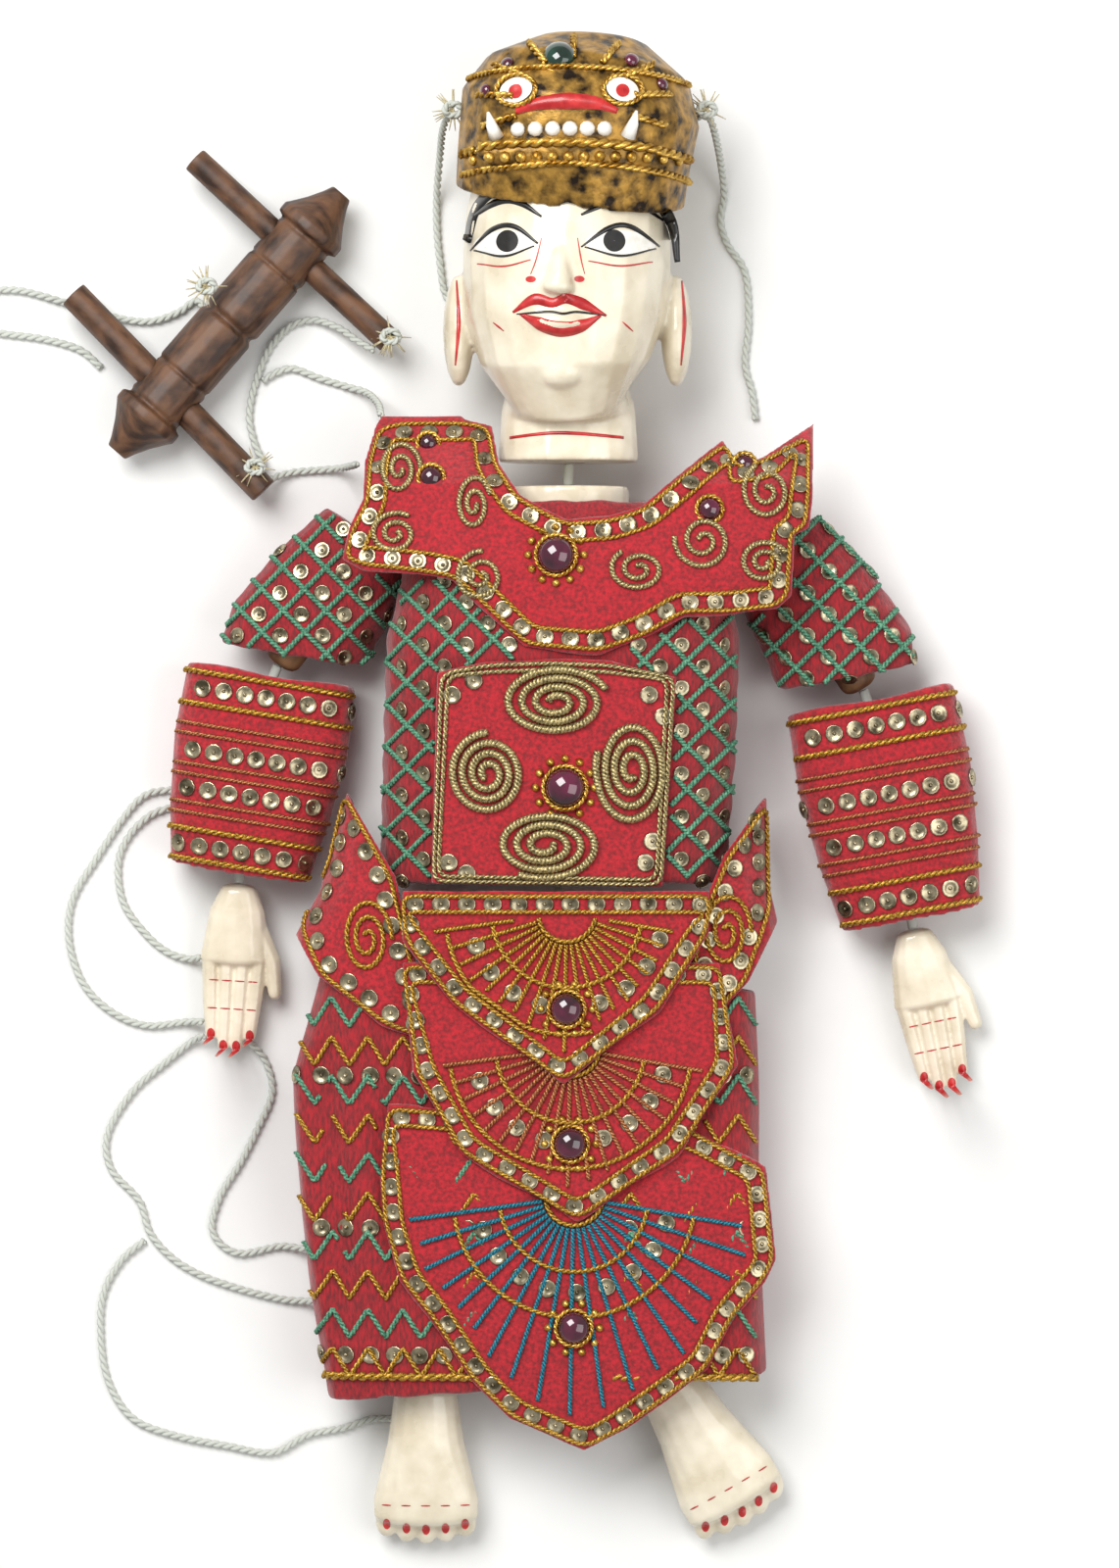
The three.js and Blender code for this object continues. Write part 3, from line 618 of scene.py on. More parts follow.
@dataclass
class Surface:
    """A dressed piece seen from above, and the ornament that lies on it.

    Args:
        piece: The piece.
        binding: How the piece and its ornament follow the bodies.
        slot: The material slot of both.
    """

    piece: bpy.types.Object
    binding: Binding
    slot: Slot

    @cached_property
    def tree(self) -> BVHTree:
        """The tree of the piece's faces that rays are cast on.

        Returns:
            The tree.
        """
        mesh = self.piece.data
        points = [tuple(v.co) for v in mesh.vertices]
        faces = [tuple(p.vertices) for p in mesh.polygons]
        return BVHTree.FromPolygons(points, faces)

    def hit(self, x: float, y: float) -> tuple | None:
        """The point below x, y in millimetres with its normal, or None.

        Args:
            x: The place along x.
            y: The place along y.

        Returns:
            The point and its normal as arrays, or None where nothing is below.
        """
        place, normal, _, _ = self.tree.ray_cast(Vector((x * MM, y * MM, RAY_TOP)), Vector((0, 0, -1)))
        if place is None:
            return None
        return np.array(place) / MM, np.array(normal)

    def settle(self, x: float, y: float, height: float) -> tuple:
        """The point below x, y with its normal, or one at a height where nothing is below."""
        return self.hit(x, y) or (np.array((x, y, height)), np.array((0, 0, 1.0)))

    def drape(self, path: Points, lift: float, step: float = 0.8, closed: bool = False,
              steep: float = 0.25) -> list:
        """Lays a flat path on the surface.

        Args:
            path: The path's points.
            lift: The height over the surface in millimetres.
            step: The distance between the new points.
            closed: Whether the path is a loop.
            steep: The least upward share of the normal at a point.

        Returns:
            A list of arrays of points; each run ends where the surface does.
        """
        runs = [[]]
        for x, y in resample(np.array(path, float)[:, :2], step, closed):
            found = self.hit(x, y)
            if found is None or found[1][2] < steep:
                runs.append([])
                continue
            place, normal = found
            if runs[-1] and abs(place[2] - runs[-1][-1][2] + lift) > LARGEST_STEP:
                runs.append([])
            runs[-1].append(place + normal * lift)
        return [np.array(run) for run in runs if len(run) > 3]

    def put(self, batch: Batch, name: str, finish: Finish) -> None:
        """Makes a piece of a batch that has anything in it."""
        if batch.count:
            batch.piece(name, finish, self.slot, self.binding)

    def ropes(self, name: str, runs: list, radius: float, finish: Finish,
              pitch: float | None = None) -> None:
        """Makes one piece of all the runs as twisted ropes.

        Args:
            name: The piece's name.
            runs: The runs of points.
            radius: The ropes' radius.
            finish: The finish.
            pitch: The length of a twist, or None.
        """
        batch = Batch()
        for run in runs:
            batch.rope(run, radius, pitch)
        self.put(batch, name, finish)

    def sew(self, batch: Batch, x: float, y: float, radius: float = SEQUIN_RADIUS, lift: float = 0.3,
            steep: float = -1.0) -> None:
        """Adds a sequin to a batch where the surface is level enough.

        Args:
            batch: The batch.
            x: The place along x.
            y: The place along y.
            radius: The sequin's radius.
            lift: Its height over the surface.
            steep: The least upward share of the normal.
        """
        found = self.hit(x, y)
        if found and found[1][2] > steep:
            batch.sequin(found[0] + found[1] * lift, radius, found[1])

    def sequins(self, name: str, path: Points, closed: bool = False, step: float = 7.2) -> None:
        """Sews sequins a step apart along a flat path.

        Args:
            name: The piece's name.
            path: The path.
            closed: Whether it is a loop.
            step: The distance between two sequins.
        """
        batch = Batch()
        for x, y in resample(np.array(path, float)[:, :2], step, closed)[:-1 if closed else None]:
            self.sew(batch, x, y, lift=0.25, steep=0.3)
        self.put(batch, name, SEQUIN)

    def braids(self, name: str, outline: Points, offsets: tuple, finish: Finish = GOLD_BRAID,
               gap: float | None = None) -> None:
        """Lays a braid along an outline at each offset, and sequins at the gap.

        Args:
            name: The start of the pieces' names.
            outline: The outline.
            offsets: How far inside it each braid lies.
            finish: The braids' finish.
            gap: How far inside it the sequins lie, or None for no sequins.
        """
        runs = []
        for offset in offsets:
            runs += self.drape(rounded(inset(outline, offset), CORNER), BRAID_RADIUS * 0.7, closed=True)
        self.ropes(f"{name}_braid", runs, BRAID_RADIUS, finish)
        if gap is not None:
            self.sequins(f"{name}_sequins", rounded(inset(outline, gap), CORNER), closed=True)

    def stone(self, name: str, x: float, y: float, radius: float, node: str | None = None,
              beads: int = 0) -> None:
        """Lays a domed stone with its beaded setting, which may stand for a CAD node.

        Args:
            name: The piece's name.
            x: The place along x.
            y: The place along y.
            radius: The stone's radius.
            node: The CAD node, or None.
            beads: How many beads lie round the setting.
        """
        place, _ = self.settle(x, y, STONE_HEIGHT)
        if node is not None:
            low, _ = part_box(node)
            place = np.array((place[0], place[1], max(place[2], low[2] / MM)))
        batch = Batch()
        batch.dome(place, radius, radius * 0.75, 24, 8)
        stone = batch.piece(name, PURPLE_STONE, Slot.STONE, self.binding)
        if node is not None:
            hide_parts(node)
        setting = Batch()
        angle = np.linspace(0, TURN, RING_POINTS)
        edge = radius + 0.5
        ring = np.stack([place[0] + np.cos(angle) * edge, place[1] + np.sin(angle) * edge,
                         np.full(RING_POINTS, place[2] + 0.6)], axis=1)
        setting.rope(ring, 0.7)
        reach = radius + 2.6
        for turn in np.arange(beads) / max(beads, 1) * TURN:
            spot = self.hit(place[0] + math.cos(turn) * reach, place[1] + math.sin(turn) * reach)
            if spot:
                setting.dome(spot[0], 1.25, 1.5, 8, 3, spot[1])
        setting.piece(f"{name}_setting", BEAD, Slot.STONE, self.binding)

    def lattice(self, name: str, covers: tuple, bounds: tuple) -> None:
        """Crosses green cords over the surface, with a sequin in each cell.

        Args:
            name: The start of the pieces' names.
            covers: The outlines that hide the surface.
            bounds: The least x and y and the largest x and y.
        """
        x0, y0, x1, y1 = bounds

        def bare(x: float, y: float) -> bool:
            """Whether nothing covers the surface at a point."""
            return not any(inside(cover, x, y) for cover in covers)

        runs = []
        reach = int((x1 - x0 + y1 - y0) / LATTICE_STEP)
        for sign, start in ((1, y0), (-1, y1)):
            for k in range(-reach, reach + 1):
                line = []
                for x in np.arange(x0, x1, 1.0):
                    y = sign * (x - x0) + k * LATTICE_STEP + start
                    if y0 < y < y1 and bare(x, y):
                        line.append((x, y))
                        continue
                    runs += self.drape(line, 0.55) if len(line) > 4 else []
                    line = []
                runs += self.drape(line, 0.55) if len(line) > 4 else []
        self.ropes(f"{name}_lattice", runs, 0.85, GREEN_CORD, 2.6)
        batch = Batch()
        half = LATTICE_STEP / 2
        for i in range(int((x1 - x0) / half) + 1):
            for j in range(int((y1 - y0) / half) + 1):
                x, y = x0 + i * half, y0 + j * half
                if (i + j) % 2 and bare(x, y):
                    self.sew(batch, x, y, SEQUIN_RADIUS * 0.92, steep=0.35)
        self.put(batch, f"{name}_lattice_sequins", SEQUIN)

    def decal(self, batch: Batch, outline: Points, lift: float = 0.12, rings: int = 5) -> None:
        """Adds a thin painted patch with a flat outline to a batch.

        Args:
            batch: The batch.
            outline: The outline.
            lift: The height over the surface.
            rings: How many rows of faces lead to the middle.
        """
        points = resample(np.array(outline, float), 0.7, closed=True)[:-1]
        middle = points.mean(axis=0)
        rows = []
        for k in range(rings + 1):
            row = []
            for x, y in middle + (points - middle) * max(1 - k / rings, 0.02):
                place, normal = self.settle(x, y, PATCH_HEIGHT)
                row.append(place + normal * lift)
            rows.append(row)
        batch.grid(rows, closed_ends=False)
        base = np.array(rows[0])
        batch.grid([base, base - (0, 0, 0.35)], closed_ends=False)

    def brush(self, batch: Batch, line: Points, widths: tuple, lift: float = 0.14) -> None:
        """Adds a painted stroke along a flat line to a batch, with its half widths.

        Args:
            batch: The batch.
            line: The line.
            widths: The half widths along it.
            lift: The height over the surface.
        """
        rings = []
        for a, b in zip(*stroke(line, widths)):
            ring = []
            for x, y in (a, (a + b) / 2, b):
                place, normal = self.settle(x, y, STROKE_HEIGHT)
                ring.append(place + normal * lift)
            ring.append(ring[2] - (0, 0, 0.3))
            ring.append(ring[0] - (0, 0, 0.3))
            rings.append(ring)
        batch.grid(rings)


def dressed(name: str, node: str, voxel: float, rounds: int, finish: Finish, slot: Slot, binding: Binding,
            ripple: Callable | None = None) -> Surface:
    """A smooth copy of a CAD node's solid that stands for it.

    Args:
        name: The piece's name.
        node: The CAD node's name.
        voxel: The remesh size in millimetres.
        rounds: How often the mesh is smoothed.
        finish: The material.
        slot: The record's material slot.
        binding: How the piece follows the bodies.
        ripple: A function of points in millimetres that gives a height in millimetres, or None.

    Returns:
        The new piece's surface.
    """
    solid = bmesh.new()
    solid.from_mesh(bpy.data.objects[node].data)
    bmesh.ops.remove_doubles(solid, verts=solid.verts, dist=1e-6)
    mesh = bpy.data.meshes.new(name)
    solid.to_mesh(mesh)
    solid.free()
    obj = bpy.data.objects.new(name, mesh)
    bpy.context.collection.objects.link(obj)
    remesh = obj.modifiers.new("remesh", "REMESH")
    remesh.mode = "VOXEL"
    remesh.voxel_size = voxel * MM
    smooth = obj.modifiers.new("smooth", "SMOOTH")
    smooth.factor = 0.5
    smooth.iterations = rounds
    bpy.ops.object.select_all(action="DESELECT")
    obj.select_set(True)
    bpy.context.view_layer.objects.active = obj
    bpy.ops.object.modifier_apply(modifier="remesh")
    bpy.ops.object.modifier_apply(modifier="smooth")
    mesh = obj.data
    if ripple is not None:
        points = np.empty(len(mesh.vertices) * 3)
        normals = np.empty(len(mesh.vertices) * 3)
        mesh.vertices.foreach_get("co", points)
        mesh.vertices.foreach_get("normal", normals)
        points = points.reshape(-1, 3)
        points += normals.reshape(-1, 3) * ripple(points / MM)[:, None] * MM
        points[:, 2] = np.maximum(points[:, 2], LOWEST)
        mesh.vertices.foreach_set("co", points.ravel())
    mesh.polygons.foreach_set("use_smooth", [True] * len(mesh.polygons))
    mesh.materials.clear()
    mesh.materials.append(finish.material())
    mesh.update()
    binding.hold(obj)
    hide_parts(node)
    LOG.info("%s follows %s", name, binding.body)
    return Surface(obj, binding, slot)


def folds(width: float, depth: float) -> Callable:
    """A ripple of folds that run along Y, in millimetres.

    Args:
        width: The width of a fold.
        depth: Its depth.

    Returns:
        The ripple, for dressed().
    """
    def height(points: np.ndarray) -> np.ndarray:
        """The height at each point."""
        x = points[:, 0] + 2.5 * np.sin(points[:, 1] / 17)
        return depth * np.sin(x * TURN / width) * (0.6 + 0.4 * np.sin(points[:, 1] / 23))
    return height


def quilting(points: np.ndarray) -> np.ndarray:
    """Small puffs between the lattice's crossings, in millimetres.

    Args:
        points: The points.

    Returns:
        The height at each point.
    """
    u = (points[:, 0] + points[:, 1]) * math.pi / LATTICE_STEP
    v = (points[:, 0] - points[:, 1]) * math.pi / LATTICE_STEP
    return 0.55 * np.abs(np.sin(u) * np.sin(v)) - 0.2


def scroll(centre: Points, across: float, along: float, turns: float, start: float = 0.0) -> np.ndarray:
    """A spiral that fills an oval, as flat points.

    Args:
        centre: The oval's middle.
        across: Its half width.
        along: Its half length.
        turns: How often the spiral goes round.
        start: The angle that it starts at.

    Returns:
        An array of points.
    """
    angle = np.linspace(0, turns * TURN, int(70 * turns))
    share = 1 - angle / (turns * TURN) * 0.86
    return np.stack([centre[0] + np.cos(angle + start) * across * share,
                     centre[1] + np.sin(angle + start) * along * share], axis=1)


def oval(x: float, y: float, a: float, b: float, turn: float = 0.0, count: int = 24) -> np.ndarray:
    """The outline of an oval.

    Args:
        x: The middle's place along x.
        y: The middle's place along y.
        a: The half width.
        b: The half length.
        turn: The angle that the oval is turned by.
        count: How many points it has.

    Returns:
        An array of points.
    """
    angle = np.arange(count) / count * TURN
    u, v = np.cos(angle) * a, np.sin(angle) * b
    return np.stack([x + u * math.cos(turn) - v * math.sin(turn),
                     y + u * math.sin(turn) + v * math.cos(turn)], axis=1)


def arc(centre: Points, reach: float, start: float, end: float, step: float = 4) -> list:
    """Points on an arc round a centre, between two angles in degrees.

    Args:
        centre: The centre.
        reach: The arc's radius.
        start: The first angle.
        end: The angle that it stays below.
        step: The angle between two points.

    Returns:
        A list of points.
    """
    return [(centre[0] + math.cos(a) * reach, centre[1] + math.sin(a) * reach)
            for a in np.radians(np.arange(start, end, step))]


def stroke(line: Points, widths: tuple) -> tuple:
    """Both edges of a brush stroke along a flat line, with a half width at each point.

    Args:
        line: The line.
        widths: The half widths along it.

    Returns:
        Both edges, as arrays of points.
    """
    line = smooth_route([(x, y, 0) for x, y in line], 0.8)[:, :2]
    width = np.interp(np.linspace(0, 1, len(line)), np.linspace(0, 1, len(widths)), widths)
    along = np.gradient(line, axis=0)
    normal = np.stack([-along[:, 1], along[:, 0]], axis=1)
    normal /= np.linalg.norm(normal, axis=1, keepdims=True)
    return line + normal * width[:, None], line - normal * width[:, None]


@dataclass
class Stage:
    """The floor, the light and the camera.

    Args:
        floor_half: Half the floor's side in metres.
        key_watts: The key lamp's power.
        world_strength: The even light's strength.
    """

    floor_half: float = 1.6
    key_watts: float = 26.0
    world_strength: float = 0.45

    def build(self) -> None:
        """Makes the camera, the lamps, the floor and the world."""
        camera = bpy.data.cameras.new("camera")
        camera.lens = SENSOR * CAMERA_HEIGHT / VIEW_LONG_SIDE
        camera.sensor_width = SENSOR
        camera.clip_end = 20
        holder = bpy.data.objects.new("camera", camera)
        holder.location = (0, 0, CAMERA_HEIGHT)
        bpy.context.collection.objects.link(holder)
        bpy.context.scene.camera = holder
        bpy.ops.mesh.primitive_plane_add(size=self.floor_half * 2, location=(0, 0, -0.0002))
        floor = bpy.context.active_object
        floor.name = "floor"
        floor.data.materials.append(PAPER.material())
        self.lamp("key", (-0.5, 0.7, 1.3), self.key_watts, 0.9)
        self.lamp("fill", (0.9, -0.2, 1.2), self.key_watts * 0.35, 1.1)
        world = bpy.data.worlds.new("world")
        world.use_nodes = True
        world.node_tree.nodes["Background"].inputs["Color"].default_value = (1, 1, 1, 1)
        world.node_tree.nodes["Background"].inputs["Strength"].default_value = self.world_strength
        bpy.context.scene.world = world
        bpy.context.scene.view_settings.view_transform = "Standard"

    def lamp(self, name: str, place: tuple, watts: float, size: float) -> None:
        """Adds an area lamp that looks at the middle of the part.

        Args:
            name: The lamp's name.
            place: Its place in metres.
            watts: Its power.
            size: Its side in metres.
        """
        light = bpy.data.lights.new(name, "AREA")
        light.energy = watts
        light.size = size
        holder = bpy.data.objects.new(name, light)
        holder.location = place
        holder.rotation_mode = "QUATERNION"
        holder.rotation_quaternion = (-Vector(place)).to_track_quat("-Z", "Y")
        bpy.context.collection.objects.link(holder)


@dataclass
class Cords:
    """The free cords, each a twisted rope.

    Args:
        radius: The cords' radius in millimetres.
    """

    radius: float = CORD_RADIUS

    def build(self) -> None:
        """Makes every free cord."""
        for name, route in CORD_ROUTES.items():
            route = [point if len(point) == 3 else (*point, LYING) for point in route]
            path = smooth_route(route, 1.0)
            batch = Batch()
            batch.rope(path, self.radius, pitch=5.0, sides=6)
            cord = batch.piece(f"{name}_rope", STRING, Slot.STRING, Binding("torso"))
            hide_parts(name)


@dataclass
class Ties:
    """The short cords across the limp joints.

    Args:
        voxel: The remesh size in millimetres.
    """

    voxel: float = 0.35

    def build(self) -> None:
        """Dresses each tie on the body that carries it."""
        plan = {"neck": "torso", "waist": "torso"}
        for side in SIDES:
            plan |= {f"shoulder_{side}": "torso", f"elbow_{side}": f"upper_arm_{side}",
                     f"wrist_{side}": f"forearm_{side}", f"hip_{side}": "pelvis",
                     f"knee_{side}": f"thigh_{side}"}
        for joint, body in plan.items():
            dressed(f"tie_{joint}_cord", f"tie_{joint}", self.voxel, 3, STRING, Slot.STRING, Binding(body))


@dataclass
class Head:
    """The carved head with its painted face, and the crown with its mask in relief.

    Args:
        voxel: The remesh size in millimetres.
    """

    voxel: float = 0.7

    def build(self) -> None:
        """Makes the carvings, paints the face and lays the mask's relief."""
        head = Binding("head")
        face = dressed("head_carving", "head", self.voxel, 8, IVORY, Slot.IVORY, head)
        crown = dressed("crown_carving", "crown", self.voxel, 3, GILT, Slot.GILT, head)
        self.paint(face)
        self.mask(crown)
        self.green_stone(head)

    def paint(self, face: Surface) -> None:
        """Paints the brows, eyes, lips, marks and the hair line.

        Args:
            face: The head's surface.
        """
        black, white, red = Batch(), Batch(), Batch()
        for x0, x1, iris in EYES:
            middle = (x0 + x1) / 2
            face.decal(white, oval(middle, 151, (x1 - x0) / 2, 3.4), 0.1)
            face.decal(black, oval(iris, 151.4, 3.1, 3.1), 0.22)
            face.brush(black, [(x0 - 1, 149.5), (middle - 3, 155), (middle + 3, 155.4), (x1 + 1, 150.5)],
                       (0.2, 0.7, 0.7, 0.3))
            face.brush(black, [(x0, 149.5), (middle, 147.2), (x1, 149.8)], (0.2, 0.35, 0.2))
            face.brush(black, [(x0 - 1, 158.5), (middle - 2, 162.5), (middle + 4, 162.3), (x1 + 2, 158)],
                       (0.3, 1.0, 1.0, 0.3))
            face.brush(red, [(x0 + 1, 145.6), (middle, 144.4), (x1 - 1, 146)], (0.15, 0.25, 0.15))
        for x in (-8, 5.5):
            face.decal(red, oval(x, 140.6, 1.5, 0.9), 0.15, 3)
        for batch, strokes in ((red, RED_STROKES), (black, BLACK_STROKES)):
            for line, widths in strokes:
                face.brush(batch, line, widths)
        face.put(black, "face_black", BLACK_PAINT)
        face.put(white, "face_white", WHITE_PAINT)
        face.put(red, "face_red", RED_PAINT)

    def mask(self, crown: Surface) -> None:
        """Lays the mask's eyes, lip, teeth and fangs, and the crown's bands, rays and stones.

        Args:
            crown: The crown's surface.
        """
        white, red, gold, dark = Batch(), Batch(), Batch(), Batch()
        for x, turn in ((-12, 0.3), (17.4, -0.3)):
            crown.decal(white, oval(x, 193, 4.6, 3.4, turn), 0.35)
            crown.decal(red, oval(x, 192.6, 1.9, 1.9), 0.6, 3)
            for run in crown.drape(oval(x, 193, 5.4, 4.2), 0.5, closed=True):
                gold.rope(run, 0.8)
        crown.brush(red, [(-12, 187), (-6, 189), (2, 189.6), (10, 189), (16, 187)],
                    (0.8, 1.8, 2.2, 1.8, 0.8), 0.5)
        for k in range(6):
            found = crown.hit(-11.5 + k * 4.8, 182)
            if found:
                white.dome(found[0] + (0, 0, -0.8), 2.3, 3.2, 10, 4, (0, 0.1, 1))
        for x, lean in ((-17.5, -1.5), (19, 1.5)):
            found = crown.hit(x, 180)
            if found:
                root = found[0] + (0, 0, 0.6)
                white.tube([root, root + (lean, 3.5, 1.6), root + (lean * 1.6, 7, 1.2)],
                           np.array((2.2, 1.5, 0.4)), 10)
        for y, radius in ((177.4, 1.5), (171.6, 1.1), (198.4, 0.9)):
            band = [(x, y + 3 * (1 - (x / 34) ** 2) - 2) for x in np.arange(-27, 37, 1.5)]
            for run in crown.drape(band, 0.6, steep=0.05):
                gold.rope(run, radius)
        for x in np.arange(-24, 34, 4.4):
            found = crown.hit(x, 174.4)
            if found and found[1][2] > 0.1:
                gold.dome(found[0], 1.7, 1.5, 8, 3, found[1])
        for angle in np.radians(200 - np.arange(9) * 27.5):
            ray = [(4 + math.cos(angle) * r, 190 + math.sin(angle) * r * 0.7) for r in (17, 22, 27)]
            for run in crown.drape(ray, 0.5, steep=0.02):
                gold.rope(run, 1.1)
        for x, y, r in ((-14.5, 200.8, 2.2), (20, 201.6, 2.2), (-20.5, 193.5, 1.9), (28.5, 195.2, 2)):
            found = crown.hit(x, y)
            if found:
                dark.dome(found[0], r, r * 0.8, 14, 5, found[1])
        crown.put(white, "mask_white", WHITE_PAINT)
        crown.put(red, "mask_red", RED_PAINT)
        crown.put(gold, "mask_gilt", BRIGHT_GILT)
        dark.piece("crown_small_stones", PURPLE_STONE, Slot.STONE, crown.binding)

    def green_stone(self, head: Binding) -> None:
        """Makes the crown's green stone in its gilt ring.

        Args:
            head: How the head's pieces follow the bodies.
        """
        low, high = (np.array(corner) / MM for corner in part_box("crown_stone"))
        middle = (low + high) / 2
        normal = np.array((0, 0.682, 0.731))
        stone, ring = Batch(), Batch()
        stone.dome(middle - normal * 2.0, 4.8, 4.2, 24, 8, normal)
        piece = stone.piece("crown_green_stone", GREEN_STONE, Slot.GREEN_STONE, head)
        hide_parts("crown_stone")
        ring.sequin(middle - normal * 2.3, 6.0, normal)
        ring.piece("crown_stone_ring", BRIGHT_GILT, Slot.GREEN_STONE, head)


@dataclass
class Torso:
    """The chest in its jacket, with the collar and the medallion.

    Args:
        scrolls: The collar's spirals: x, y, half width, half length and first angle.
        discs: The medallion's spirals, in the same order.
        corners: The places of the medallion's sequins.
    """

    scrolls: tuple = ((-45, 88, 6, 8, 0), (-46, 70, 7, 6, 1), (58, 82, 7, 8, 2), (57, 62, 7, 6, 0.5),
                      (-22, 58, 7, 7, 1.5), (22, 60, 8, 6, 2.2), (-24, 78, 5, 8, 0.4), (40, 68, 8, 8, 3))
    discs: tuple = ((-1, 23, 15, 9.5, 0.4), (-20, 3, 10.5, 11.5, 1.6), (20, 4, 10, 15, 2.8),
                    (-4, -17, 15, 9.5, 4.2))
    corners: tuple = ((-30, 25), (-24, 29), (25, 25), (29, 19), (24, -22), (26, -16), (-31, -22), (-26, -25))

    def build(self) -> None:
        """Makes the chest and the cloth and lays their ornament."""
        torso = Binding("torso")
        dressed("neck_stub", "chest_block", 1.0, 4, IVORY, Slot.IVORY, torso)
        jacket = dressed("jacket_cloth", "jacket", THICK_VOXEL, 6, RED_CLOTH, Slot.LATTICE, torso, quilting)
        collar = dressed("collar_felt", "collar", PANEL_VOXEL, 4, RED_FELT, Slot.FELT, torso, folds(31, 0.4))
        medallion = dressed("medallion_ground", "medallion", PANEL_VOXEL, 4, RED_FELT, Slot.GOLD, torso,
                            folds(40, 0.3))
        self.dress_collar(collar)
        self.dress_medallion(medallion)
        jacket.lattice("jacket", (COLLAR, MEDALLION), (-50, -27, 50, 60))

    def dress_collar(self, collar: Surface) -> None:
        """Lays the collar's braids, sequins, scrolls and stones.

        Args:
            collar: The collar's surface.
        """
        collar.braids("collar", COLLAR, (1.6, 6.4), gap=4.0)
        runs = []
        for x, y, across, along, start in self.scrolls:
            runs += collar.drape(scroll((x, y), across, along, 2.0, start), 0.6)
        collar.ropes("collar_scrolls", runs, 0.9, BULLION, FINE_PITCH)
        collar.stone("collar_centre_stone", -1, 64, 5.2, "collar_stone", 12)
        for k, (x, y, radius) in enumerate(((-36, 86, 3.2), (-37, 96, 2.6), (42, 77, 3.2), (52, 90, 2.6))):
            collar.stone(f"collar_stone_{k}", x, y, radius)

    def dress_medallion(self, medallion: Surface) -> None:
        """Lays the medallion's four bullion discs, its stone and the corners' sequins.

        Args:
            medallion: The medallion's surface.
        """
        medallion.braids("medallion", MEDALLION, (1.2, 3.0), BULLION)
        runs = []
        for x, y, across, along, start in self.discs:
            runs += medallion.drape(scroll((x, y), across, along, 3.4, start), 0.7)
        medallion.ropes("medallion_scrolls", runs, 1.25, BULLION, FINE_PITCH)
        medallion.stone("medallion_centre_stone", 1.5, -1, 5.6, "medallion_stone", 12)
        batch = Batch()
        for x, y in self.corners:
            medallion.sew(batch, x, y)
        medallion.put(batch, "medallion_sequins", SEQUIN)


@dataclass(frozen=True)
class Fan:
    """One of the apron's three fans.

    Args:
        name: Its place, which is in its node's name.
        outline: Its outline.
        root: Where its lines start.
        stone: Where its stone lies.
        finish: The lines' finish.
    """

    name: str
    outline: list
    root: tuple
    stone: tuple
    finish: Finish

    def build(self) -> None:
        """Makes the panel and lays its braids, lines, arcs, sequins and stone."""
        name = f"apron_{self.name}"
        felt = dressed(f"{name}_felt", name, PANEL_VOXEL, 4, RED_FELT, Slot.LATTICE, Binding("pelvis"),
                       folds(24, 0.5))
        felt.braids(name, self.outline, (1.4, 5.8), gap=3.6)
        runs = []
        for angle in np.radians(np.arange(188, 353, 9)):
            line = [(self.root[0] + math.cos(angle) * r, self.root[1] + math.sin(angle) * r)
                    for r in np.arange(9, 70, 1.5)]
            runs += self.laid(felt, line, 8, 0.5)
        felt.ropes(f"{name}_fan", runs, 0.7, self.finish, FINE_PITCH)
        runs = []
        for reach in (8, 21, 34):
            runs += self.laid(felt, arc(self.root, reach, 190, 351), 7, 0.7)
        felt.ropes(f"{name}_arcs", runs, 0.8, GOLD_BRAID)
        row = [p for p in arc(self.root, 27, 200, 345) if inside(inset(self.outline, 7), *p)]
        felt.sequins(f"{name}_row", row, step=9)
        felt.stone(f"{name}_stone", *self.stone, 4.6, f"apron_stone_{self.name}", 10)

    def laid(self, felt: Surface, line: Points, margin: float, lift: float) -> list:
        """The runs of a line's part that lies inside the outline's margin.

        Args:
            felt: The panel's surface.
            line: The line.
            margin: How wide the margin is.
            lift: The height over the surface.

        Returns:
            A list of arrays of points.
        """
        edge = inset(self.outline, margin)
        line = [p for p in line if inside(edge, *p)]
        return felt.drape(line, lift) if len(line) > 3 else []


@dataclass
class Pelvis:
    """The pelvis block with the apron and the hip flaps.

    Args:
        fans: The apron's fans from the waist down.
    """

    fans: tuple = (Fan("upper", APRON_UPPER, (2, -36), (2, -63), GOLD_BRAID),
                   Fan("middle", APRON_MIDDLE, (3, -74), (3, -101), COPPER_BRAID),
                   Fan("lower", APRON_LOWER, (4, -116), (4, -153), BLUE_BRAID))

    def build(self) -> None:
        """Makes the block, the fans and the flaps."""
        pelvis = Binding("pelvis")
        dressed("pelvis_wood", "pelvis_block", 1.2, 3, IVORY, Slot.IVORY, pelvis)
        for fan in self.fans:
            fan.build()
        for side, outline in (("left", FLAP_LEFT), ("right", FLAP_RIGHT)):
            flap = dressed(f"flap_{side}_felt", f"flap_{side}", PANEL_VOXEL, 4, RED_FELT, Slot.FELT, pelvis,
                           folds(26, 0.4))
            flap.braids(f"flap_{side}", outline, (1.4,), gap=4.2)
            runs = flap.drape(scroll(np.mean(outline, axis=0), 7, 11, 2.4), 0.6)
            flap.ropes(f"flap_{side}_scroll", runs, 0.8, GOLD_BRAID)


